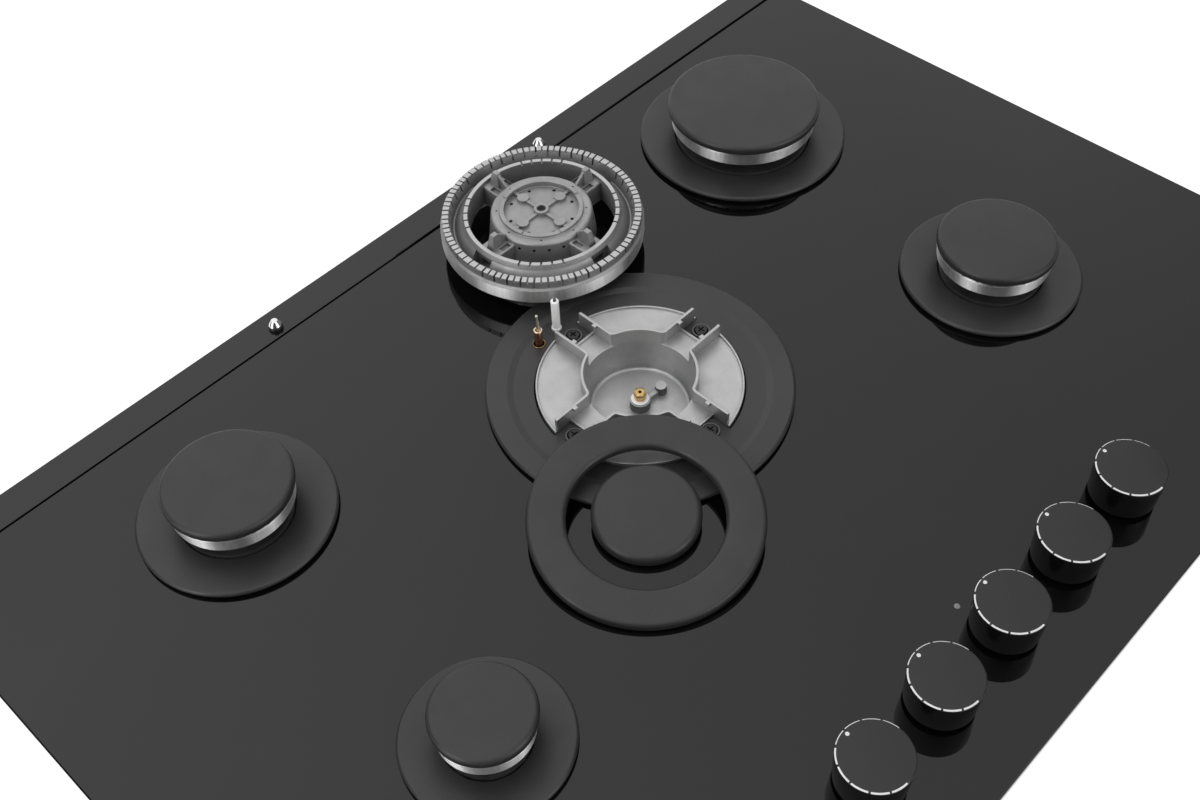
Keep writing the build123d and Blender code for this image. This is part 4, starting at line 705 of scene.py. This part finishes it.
def set_floor():
    corners = [(x * FLOOR_HALF, y * FLOOR_HALF) for x, y in ((-1, -1), (1, -1), (1, 1), (-1, 1))]
    floor = add_thing("floor", Form().prism(corners, FLOOR_LEVEL - FLOOR_T, FLOOR_LEVEL))
    material = new_material("floor_paint", grey(0.82), 0.7)
    space = mottled(material, grey(0.80), grey(0.84), 1.5, 40.0)
    bumped(material, space, 160.0, 0.05, 0.2)
    rays = node(material, "ShaderNodeLightPath").outputs
    seen = maths(material, "MAXIMUM", rays["Is Camera Ray"], rays["Is Glossy Ray"])
    share = maths(material, "MULTIPLY", seen, FLOOR_GLOW_SHARE)
    glow = node(material, "ShaderNodeEmission", Color=(1, 1, 1, 1), Strength=FLOOR_GLOW)
    shown = shown_between(material, share, shader_of(material).outputs[0], glow.outputs[0])
    link(material, shown, material.node_tree.nodes["Material Output"].inputs["Surface"])
    floor.data.materials.append(material)


def sky_towards(world, direction, low, high, source):
    """Brightness that rises towards one direction of the sky."""
    place = node(world, "ShaderNodeTexCoord").outputs["Generated"]
    along = vector_maths(world, "DOT_PRODUCT", place, Vector(direction).normalized())
    return spread(world, along, low, high, source)


def sky_panels(world):
    """Upright soft panels and a gap round the horizon, which the turned bands mirror as streaks."""
    place = node(world, "ShaderNodeTexCoord").outputs["Generated"]
    flat = vector_maths(world, "MULTIPLY", place, (1, 1, 0))
    level = vector_maths(world, "NORMALIZE", flat)
    total = SKY_LOW
    for azimuth, inner, outer, gain in SKY_PANELS:
        along = vector_maths(world, "DOT_PRODUCT", level, (*polar(1, azimuth), 0))
        source = (math.cos(math.radians(outer)), math.cos(math.radians(inner)))
        total = maths(world, "ADD", total, spread(world, along, 0, gain, source))
    height = sky_towards(world, (0, 0, 1), 0, 1, SKY_HEIGHTS)
    return blended(world, height, total, 1.0)


def set_sky():
    world = bpy.data.worlds.new("studio")
    world.use_nodes = True
    sky = world.node_tree.nodes["Background"]
    sky.inputs["Color"].default_value = (1, 1, 1, 1)
    lobe = sky_towards(world, SKY_MIDDLE, *SKY_LOBE)
    rear = sky_towards(world, SKY_REAR, *SKY_REAR_GAIN)
    strength = maths(world, "MULTIPLY", maths(world, "MULTIPLY", lobe, rear), sky_panels(world))
    link(world, strength, sky.inputs["Strength"])
    seen = node(world, "ShaderNodeLightPath").outputs["Is Camera Ray"]
    white = node(world, "ShaderNodeBackground", Strength=1.0, Color=(1, 1, 1, 1))
    shown = shown_between(world, seen, sky.outputs[0], white.outputs[0])
    link(world, shown, world.node_tree.nodes["World Output"].inputs["Surface"])
    bpy.context.scene.world = world


def set_lamps():
    for name, place, diameter, watts, mirrored in LAMPS:
        data = bpy.data.lights.new(name, "AREA")
        data.shape = "DISK"
        data.size = diameter
        data.energy = watts
        lamp = bpy.data.objects.new(name, data)
        lamp.location = place
        lamp.visible_glossy = mirrored
        lamp.rotation_euler = (Vector(place) - Vector(LAMP_AIM)).to_track_quat("Z", "Y").to_euler()
        bpy.context.scene.collection.objects.link(lamp)


bpy.context.scene.view_settings.view_transform = "Standard"
set_camera()
set_floor()
set_sky()
set_lamps()


# ---------------------------------------------------------------- small burners: dishes
def dish_outline(outer_r, opening_r):
    """A smooth dish: rounded edge, then a gentle fall to the opening."""
    points = [
        (opening_r, 0.3),
        (outer_r - 2.0, 0.3),
        (outer_r, 2.7),
        (outer_r - DISH_ROUND, DISH_RIM_H),
        (opening_r, 3.3),
    ]
    return rounded(points, [0, 0.4, 1.5, 1.2, 0.5])


def probe_places(burner):
    """Where a small burner's electrode and thermocouple stand, from its middle."""
    out = burner.band_r + PROBE_OUT
    return [polar(out, burner.probes_at + side * PROBE_SPREAD) for side in (-1, 1)]


def hole_cutter(places, radius, low=-5.0, high=12.0):
    form = Form()
    for x, y in places:
        form.turned([(0, low), (radius, low), (radius, high), (0, high)], 40, Matrix.Translation((x, y, 0)))
    return form


def make_small_dishes():
    for name, burner in BURNERS.items():
        outline = dish_outline(burner.dish_r, burner.band_r - 4.0 + DISH_GAP)
        form = Form().turned(outline, 160, at_glass(burner.place))
        cut = hole_cutter(probe_places(burner), PROBE_HOLE_R).moved(at_glass(burner.place))
        node_name = "dish_" + name
        piece(node_name + "_formed", form, "dish_enamel", "root", [node_name], cut)


# ---------------------------------------------------------------- small burners: crowns and caps
SLOT_W = 2.0
SLOT_DEPTH = 1.4


def slotted(count, width, depth, radius, edge=0.15, step=3.0):
    """Azimuths round a ring of even slots, each with the drop there, and plain ones between."""
    degree = math.degrees(1 / radius)
    half = width / 2 * degree
    small = edge * degree
    found = []
    for index in range(count):
        azimuth = 360 * index / count
        found += [
            (azimuth - half - small, 0.0),
            (azimuth - half, edge),
            (azimuth - half + small / 2, depth),
            (azimuth + half - small / 2, depth),
            (azimuth + half, edge),
            (azimuth + half + small, 0.0),
        ]
        start = azimuth + half + small
        end = 360 * (index + 1) / count - half - small
        spans = max(1, math.ceil((end - start) / step))
        found += [(start + (end - start) * share / spans, 0.0) for share in range(1, spans)]
    return found


def make_band(name, burner):
    """The polished band with its groove and flame slots."""
    radius = burner.band_r
    outline = [
        (radius - 4.5, BAND_LOW),
        (radius - 1.0, BAND_LOW),
        (radius - 0.1, 23.0),
        (radius + 0.35, 23.5),
        (radius + 0.35, 24.0),
        (radius, 24.4),
        (radius, CAP_LOW),
        (radius - 4.5, CAP_LOW),
    ]
    smooth = rounded(outline, [0, 0.3, 0.1, 0.1, 0.1, 0.1, 0.3, 0.3])
    rows = [(r, z, 1.0 if z > 25.0 else 0.0) for r, z in smooth]
    angles = slotted(burner.slots, SLOT_W, SLOT_DEPTH, radius)
    form = Form().turned(rows, place=at_glass(burner.place), angles=angles)
    crown = "crown_" + name
    piece(crown + "_formed", form, "band_polished", crown, [crown])


def make_drum(name, burner):
    """The inside of a small crown, from its drum to below the band, cast metal painted dark as shade."""
    drum_r, band_r = burner.drum_r, burner.band_r
    outline = [
        (drum_r - 2.0, -6.0),
        (drum_r, -6.0),
        (drum_r, 8.0),
        (drum_r + 3.6, 8.0),
        (drum_r + 3.6, 11.5),
        (band_r - 6.0, 11.5),
        (band_r - 1.8, 14.7),
        (band_r - 4.4, 16.0),
        (drum_r - 2.0, 16.0),
    ]
    smooth = rounded(outline, [0, 0.5, 0, 0, 0, 1.0, 0.3, 0, 0])
    form = Form().turned(smooth, 96, at_glass(burner.place))
    crown = "crown_" + name
    piece(crown + "_inside", form, "cast_shaded", crown)


def make_cap(name, burner):
    """An enamelled cap with a skirt inside the band."""
    band_r, cap_r = burner.band_r, burner.cap_r
    outline = [
        (0, CAP_LOW),
        (band_r - 7.0, CAP_LOW),
        (band_r - 7.0, 23.4),
        (band_r - 5.0, 23.4),
        (band_r - 5.0, CAP_LOW),
        (cap_r - 0.4, CAP_LOW),
        (cap_r, CAP_TOP),
        (0, CAP_TOP),
    ]
    smooth = rounded(outline, [0, 0, 0.4, 0.4, 0, 1.0, 2.9, 0], 8)
    form = Form().turned(smooth, 160, at_glass(burner.place))
    cap = "cap_" + name
    piece(cap + "_formed", form, "cap_enamel", cap, [cap])


def make_small_burners():
    for name, burner in BURNERS.items():
        make_band(name, burner)
        make_drum(name, burner)
        make_cap(name, burner)
        # The small cups take the cast metal painted dark as shade.
        set_finish(frame["nodes"]["cup_" + name], "cast_shaded")


# ---------------------------------------------------------------- loose crown
# Small holes of the loose crown: four between each two arms of its drum, eight on its ledge.
DRUM_PORT_OUT = 33.0
DRUM_PORT_H = 25.2
DRUM_PORT_FIRST = 20.25
DRUM_PORT_STEP = 16.5
DRUM_PORT_R = 0.95
LEDGE_PORT_OUT = 29.4
LEDGE_PORT_R = 0.6


def make_centre_band():
    """The bright turned skin of the loose crown's band."""
    outline = [(66.5, 12.4), (67.04, 12.4), (67.04, 21.6), (66.5, 21.6)]
    form = Form().turned(rounded(outline, [0, 0.1, 0.1, 0], 2), 192, at_glass(CROWN_PLACE))
    piece("crown_centre_band", form, "band_polished", "crown_centre")


def make_crown_port_shades():
    """Painted shade: black plugs in the mouths of the small holes round the loose crown's drum and on its
    ledge.
    """
    port_shades = Form()
    outwards = Matrix.Rotation(math.radians(90), 4, "Y")
    mouth = [(0, 0), (DRUM_PORT_R, 0), (DRUM_PORT_R, 0.92), (0, 0.92)]
    for quarter in range(4):
        for step in range(4):
            azimuth = DRUM_PORT_FIRST + 90 * quarter + DRUM_PORT_STEP * step
            on_drum = Matrix.Translation((DRUM_PORT_OUT, 0, DRUM_PORT_H))
            port_shades.turned(mouth, 24, at_glass(CROWN_PLACE) @ turned_by(azimuth) @ on_drum @ outwards)
    mouth = [(0, 29.4), (LEDGE_PORT_R, 29.4), (LEDGE_PORT_R, 30.12), (0, 30.12)]
    for index in range(8):
        place = beside(CROWN_PLACE, polar(LEDGE_PORT_OUT, 45 * index))
        port_shades.turned(mouth, 20, at_glass(place))
    piece("crown_port_shades", port_shades, "black_painted_shade", "crown_centre")


# ---------------------------------------------------------------- injectors and screws
JET_AF = 7.0
JET_FOOT_AF = 6.6
JET_WASHER_R = 5.6
# Bosses on the centre bowl's floor: place from the burner's middle, radius and top.
BOWL_BOSSES = (((0, 0), 6.38, -12.05), ((17.5, -1.5), 3.73, -12.6))
BOWL_FLOOR = -18.8


def hexagon(across_flats):
    return [polar(across_flats / math.sqrt(3), 60 * corner + 12) for corner in range(6)]


def make_injectors():
    """Hexagon jets with a turned waist, each on a white washer, and painted shade at each bore."""
    jets, washers, bore_shades = Form(), Form(), Form()
    for place in [CENTRE] + [burner.place for burner in BURNERS.values()]:
        at = at_glass(place, INJECTOR_SEAT)
        jets.prism(hexagon(JET_AF), 2.6, 6.0, at)
        jets.prism(hexagon(JET_FOOT_AF), 0.4, 2.0, at)
        jets.turned([(0, -4.8), (2.4, -4.8), (2.4, 0), (0, 0)], 32, at)
        jets.turned([(0, 0), (2.9, 0), (2.9, 2.7), (0, 2.7)], 32, at)
        jets.turned([(1.0, 5.8), (3.1, 5.8), (2.8, 6.25), (1.0, 6.25)], 40, at)
        washer = [(2.9, -0.5), (JET_WASHER_R, -0.5), (JET_WASHER_R, 0.3), (2.9, 0.3)]
        washers.turned(rounded(washer, [0, 0.2, 0.2, 0], 3), 64, at)
        bore_shades.turned([(0, 5.7), (0.85, 5.7), (0.85, 6.3), (0, 6.3)], 24, at)
    piece("injectors_formed", jets, "brass", "root", ["injectors"], bevel=0.15)
    piece("injector_washers_formed", washers, "washer_white", "root", ["injector_washers"])
    piece("injector_bore_shades", bore_shades, "black_painted_shade", "root")


def make_screw_ring_highlights():
    """Painted highlight: lighter enamel on the tops of the centre dish's raised rings round its four
    screws.
    """
    rings = Form()
    for turn in range(4):
        place = beside(CENTRE, polar(SCREW_RING_R, 90 * turn))
        ring = rounded([(4.9, 4.8), (5.6, 4.8), (5.6, 5.06), (4.9, 5.06)], [0, 0, 0.05, 0.05], 2)
        rings.turned(ring, 64, at_glass(place))
    piece("dish_centre_ring_highlights", rings, "enamel_painted_highlight", "root")


def make_boss_shades():
    """Painted shade: thin dark sleeves on the sides of the jet's boss and the second boss on the bowl's
    floor.
    """
    boss_shades = Form()
    for offset, inner_r, top in BOWL_BOSSES:
        outer_r = inner_r + 0.06
        outline = [(inner_r, BOWL_FLOOR), (outer_r, BOWL_FLOOR), (outer_r, top), (inner_r, top)]
        boss_shades.turned(outline, 64, at_glass(beside(CENTRE, offset)))
    piece("cup_centre_boss_shades", boss_shades, "boss_painted_shade", "root")


# ---------------------------------------------------------------- electrodes
CENTRE_CERAMIC_TOP = 27.6
SMALL_CERAMIC_TOP = 17.4


def electrode_places():
    """Place of each electrode and the top of its ceramic."""
    found = [(beside(CENTRE, CENTRE_ELECTRODE), CENTRE_CERAMIC_TOP)]
    for burner in BURNERS.values():
        found.append((beside(burner.place, probe_places(burner)[0]), SMALL_CERAMIC_TOP))
    return found


def make_electrodes():
    """Glazed ceramics with a rounded shoulder and a dark tip."""
    ceramics, tips = Form(), Form()
    for place, top in electrode_places():
        points = [
            (0, -14.0),
            (2.65, -14.0),
            (2.65, -2.0),
            (4.0, -2.0),
            (4.0, -0.4),
            (3.25, -0.4),
            (3.25, 4.2),
            (2.65, 5.0),
            (2.65, top),
            (1.0, top),
            (1.0, top - 1.5),
            (0, top - 1.5),
        ]
        outline = rounded(points, [0, 0, 0, 0, 0, 0, 0.4, 0.3, 0.7, 0.2, 0, 0], 5)
        ceramics.turned(outline, 48, at_glass(place))
        tip = [(0, top - 1.4), (0.9, top - 1.4), (0.9, top + 1.9), (0, top + 1.9)]
        tips.turned(rounded(tip, [0, 0, 0.5, 0], 5), 32, at_glass(place))
    nodes = ["electrode_ceramics"]
    piece("electrode_ceramics_formed", ceramics, "ceramic", "root", nodes, sharp=50.0)
    piece("electrode_tips_formed", tips, "tip_dark", "root", ["electrode_tips"])


# ---------------------------------------------------------------- thermocouples
class Probe(NamedTuple):
    """A thermocouple: tops of its body and of its needle, and its collar's rise on the dish."""

    body_top: float
    needle_top: float
    rise: float


CENTRE_PROBE = Probe(16.0, 29.0, 0.0)
SMALL_PROBE = Probe(12.0, 20.4, 0.6)
NEEDLE_BALL_TURNS = range(25, 180, 18)


def thermocouple_places():
    found = [(beside(CENTRE, CENTRE_THERMOCOUPLE), CENTRE_PROBE)]
    for burner in BURNERS.values():
        found.append((beside(burner.place, probe_places(burner)[1]), SMALL_PROBE))
    return found


def needle_outline(length):
    """A slim cone that ends in a ball."""
    turns = [math.radians(turn) for turn in NEEDLE_BALL_TURNS]
    ball = [(math.sin(turn), length - 1.0 - math.cos(turn)) for turn in turns]
    return [(0, 0), (1.5, 0), (1.3, 5.0), (0.6, length - 2.6), *ball, (0, length)]


def make_thermocouples():
    bodies, rings, needles, collars, gap_shades = Form(), Form(), Form(), Form(), Form()
    for place, probe in thermocouple_places():
        top = probe.body_top
        low = top - 1.3
        flange = [(2.6, -2.0), (3.3, -2.0), (3.3, -0.4), (2.6, -0.4)]
        bodies.turned([(0, -12.0), (2.6, -12.0), *flange, (2.6, low), (0, low)], 48, at_glass(place))
        ring = [(1.7, low - 0.2), (2.85, low - 0.2), (2.85, top), (1.7, top)]
        rings.turned(rounded(ring, [0, 0.3, 0.4, 0.3], 3), 48, at_glass(place))
        collar = [(3.5, 3.2), (4.0, 3.2), (4.0, 3.95), (3.7, 3.95)]
        collars.turned(rounded(collar, [0, 0.1, 0.15, 0.1], 3), 48, at_glass(place, probe.rise))
        # Painted shade: a black ring in the gap between the body and its collar.
        gap = [(2.65, 3.0), (3.6, 3.0), (3.6, 3.5), (2.65, 3.5)]
        gap_shades.turned(gap, 48, at_glass(place, probe.rise))
        foot = Vector((place[0] + 0.45, place[1] - 0.45, GLASS_TOP + low - 0.5))
        along = Vector((place[0] - 0.15, place[1] + 0.15, GLASS_TOP + probe.needle_top)) - foot
        stance = Matrix.Translation(foot) @ along.to_track_quat("Z", "Y").to_matrix().to_4x4()
        needles.turned(needle_outline(along.length), 24, stance)
    piece("thermocouples_formed", bodies, "copper", "root", ["thermocouples"])
    piece("thermocouple_rings", rings, "brass_bright", "root")
    piece("thermocouple_needles", needles, "needle_pale", "root")
    piece("thermocouple_collars_formed", collars, "brass", "root", ["thermocouple_collars"])
    piece("thermocouple_gap_shades", gap_shades, "black_painted_shade", "root")


# ---------------------------------------------------------------- loose caps
RING_CAP_OFFSET = (-74.9, -73.7)       # from the centre burner, as the next one is
RING_CAP_R = 67.4
RING_CAP_HOLE_R = 44.8
RING_CAP_T = 6.2
RING_CAP_EDGE_R = 1.4
INNER_CAP_OFFSET = (-71.0, -70.5)
INNER_CAP_R = 31.5
INNER_CAP_T = 8.0
INNER_CAP_EDGE_R = 2.2


def lean(foot_r, edge_r, reach, prop_h):
    """Tilt and centre height of a disc with its low edge on the glass, as the CAD model sets it.

    foot_r is where its rounded lower edge is centred and edge_r how round that is.
    What props the disc up stands reach from its centre, up the slope, and is prop_h high.
    """
    low, high = 0.0, 40.0
    while high - low > 1e-7:
        tilt = (low + high) / 2
        slope = math.radians(tilt)
        centre_h = foot_r * math.sin(slope) + edge_r * (1 - math.cos(slope))
        if centre_h + reach * math.tan(slope) < prop_h:
            low = tilt
        else:
            high = tilt
    return tilt, centre_h


def leaning(offset, tilt, centre_h):
    """Where a disc stands that leans with its low side away from the centre burner."""
    azimuth = math.degrees(math.atan2(offset[1], offset[0]))
    place = at_glass(beside(CENTRE, offset), centre_h + REST_GAP)
    return place @ turned_by(azimuth) @ Matrix.Rotation(math.radians(tilt), 4, "Y")


def make_ring_cap():
    """Outer cap of the centre burner, leaning on two wall tips of the cup."""
    edge, radius = RING_CAP_EDGE_R, RING_CAP_R
    hole_r, thick = RING_CAP_HOLE_R, RING_CAP_T
    groove = [(53.0, 0), (53.0, 1.0), (60.0, 1.0), (60.0, 0)]
    ring = [(hole_r, 0), *groove, (radius, 0), (radius, thick), (hole_r, thick)]
    outline = rounded(ring, [edge, 0, 0.4, 0.4, 0, edge, 3.0, 3.0], 8)
    uphill = -Vector(RING_CAP_OFFSET).normalized()
    tips = [(-CUP_WALL_TIP_R, -CUP_WALL_OUT), (-CUP_WALL_OUT, -CUP_WALL_TIP_R)]
    reach = min((Vector(tip) - Vector(RING_CAP_OFFSET)).dot(uphill) for tip in tips)
    place = leaning(RING_CAP_OFFSET, *lean(radius - edge, edge, reach, CUP_WALL_H))
    form = Form().turned(outline, 192, place)
    piece("ring_cap_formed", form, "cap_enamel", "ring_cap", ["ring_cap"])


def make_inner_cap():
    """Inner cap of the centre burner, leaning on the centre dish's rim."""
    edge, radius = INNER_CAP_EDGE_R, INNER_CAP_R
    disc = [(0, 0), (radius, 0), (radius, INNER_CAP_T), (0, INNER_CAP_T)]
    outline = rounded(disc, [0, edge, 4.2, 0], 8)
    reach = math.hypot(*INNER_CAP_OFFSET) - (CENTRE_DISH_R - DISH_ROUND)
    place = leaning(INNER_CAP_OFFSET, *lean(radius - edge, edge, reach, DISH_RIM_H))
    form = Form().turned(outline, 144, place)
    piece("inner_cap_formed", form, "cap_enamel", "inner_cap", ["inner_cap"])


# ---------------------------------------------------------------- knobs
# The dot on a knob, and the dashes of its scale: first and last azimuth, and width.
DOT_R = 1.1
DOT_OUT = 17.0
SCALE_R = 19.75
SCALE = (
    (1.5, 26.5, 0.30),
    (30.0, 56.0, 0.34),
    (60.0, 86.0, 0.40),
    (90.0, 115.0, 0.50),
    (120.5, 146.0, 0.85),
    (149.8, 176.2, 0.92),
    (179.8, 206.2, 0.92),
    (209.8, 236.2, 0.92),
    (239.8, 266.5, 0.92),
)
GLASS_DOT = (1.1, -186.9)
GLASS_DOT_R = 1.7


def make_knob(name, place):
    """A hollow knob with a skirt and a socket for the stem."""
    outline = [
        (0, 22.0),
        (3.05, 22.0),
        (3.05, 4.5),
        (5.6, 4.5),
        (5.6, 21.9),
        (17.2, 21.9),
        (16.8, 3.0),
        (19.0, 3.0),
        (KNOB_R, KNOB_TOP),
        (0, KNOB_TOP),
    ]
    smooth = rounded(outline, [0, 0, 0.2, 0.3, 0, 0.4, 0.2, 0.4, 0.8, 0], 6)
    form = Form().turned(smooth, 128, at_glass(place))
    knob = "knob_" + name
    piece(knob + "_formed", form, "knob_plastic", knob, [knob])


def make_knob_marks(name, place):
    """The white dot and the broken scale ring printed on a knob."""
    marks = Form()
    dot = rounded([(0, 24.6), (DOT_R, 24.6), (DOT_R, 25.06), (0, 25.06)], [0, 0, 0.05, 0], 2)
    marks.turned(dot, 32, at_glass(beside(place, (0, DOT_OUT))))
    for start, end, width in SCALE:
        inner = SCALE_R - width
        rim = [(SCALE_R, 24.6), (SCALE_R, 24.84), (19.5, 25.0), (19.3, 25.05)]
        marks.sector([(inner, 24.6), *rim, (inner, 25.05)], start, end, 3.0, at_glass(place))
    knob = "knob_" + name
    piece(knob + "_marks", marks, "print_white", knob)


def make_knobs():
    for name, place in KNOBS.items():
        make_knob(name, place)
        make_knob_marks(name, place)


def make_glass_print():
    """The grey dot printed on the glass behind the middle knob."""
    points = [(0, -0.3), (GLASS_DOT_R, -0.3), (GLASS_DOT_R, 0.03), (0, 0.03)]
    form = Form().turned(rounded(points, [0, 0, 0.02, 0], 2), 40, at_glass(GLASS_DOT))
    piece("glass_dot", form, "print_grey", "root")


# ---------------------------------------------------------------- studs
def make_studs():
    heads, washers = Form(), Form()
    for place in STUD_PLACES:
        head = [(0, 2.4), (4.3, 2.4), (4.3, 3.3), (2.1, 6.6), (0, 6.6)]
        heads.turned(rounded(head, [0, 0.2, 0.4, 0.5, 0]), 64, at_glass(place))
        heads.turned([(0, -3.1), (1.5, -3.1), (1.5, 2.6), (0, 2.6)], 24, at_glass(place))
        washer = [(1.6, 0), (4.7, 0), (4.7, 2.4), (1.6, 2.4)]
        washers.turned(rounded(washer, [0, 0.2, 0.6, 0]), 64, at_glass(place))
    piece("trim_studs_formed", heads, "stud_chrome", "root", ["trim_studs"])
    piece("stud_washers_formed", washers, "washer_black", "root", ["stud_washers"])


make_small_dishes()
make_small_burners()
make_centre_band()
make_crown_port_shades()
make_injectors()
make_screw_ring_highlights()
make_boss_shades()
make_electrodes()
make_thermocouples()
make_ring_cap()
make_inner_cap()
make_knobs()
make_glass_print()
make_studs()
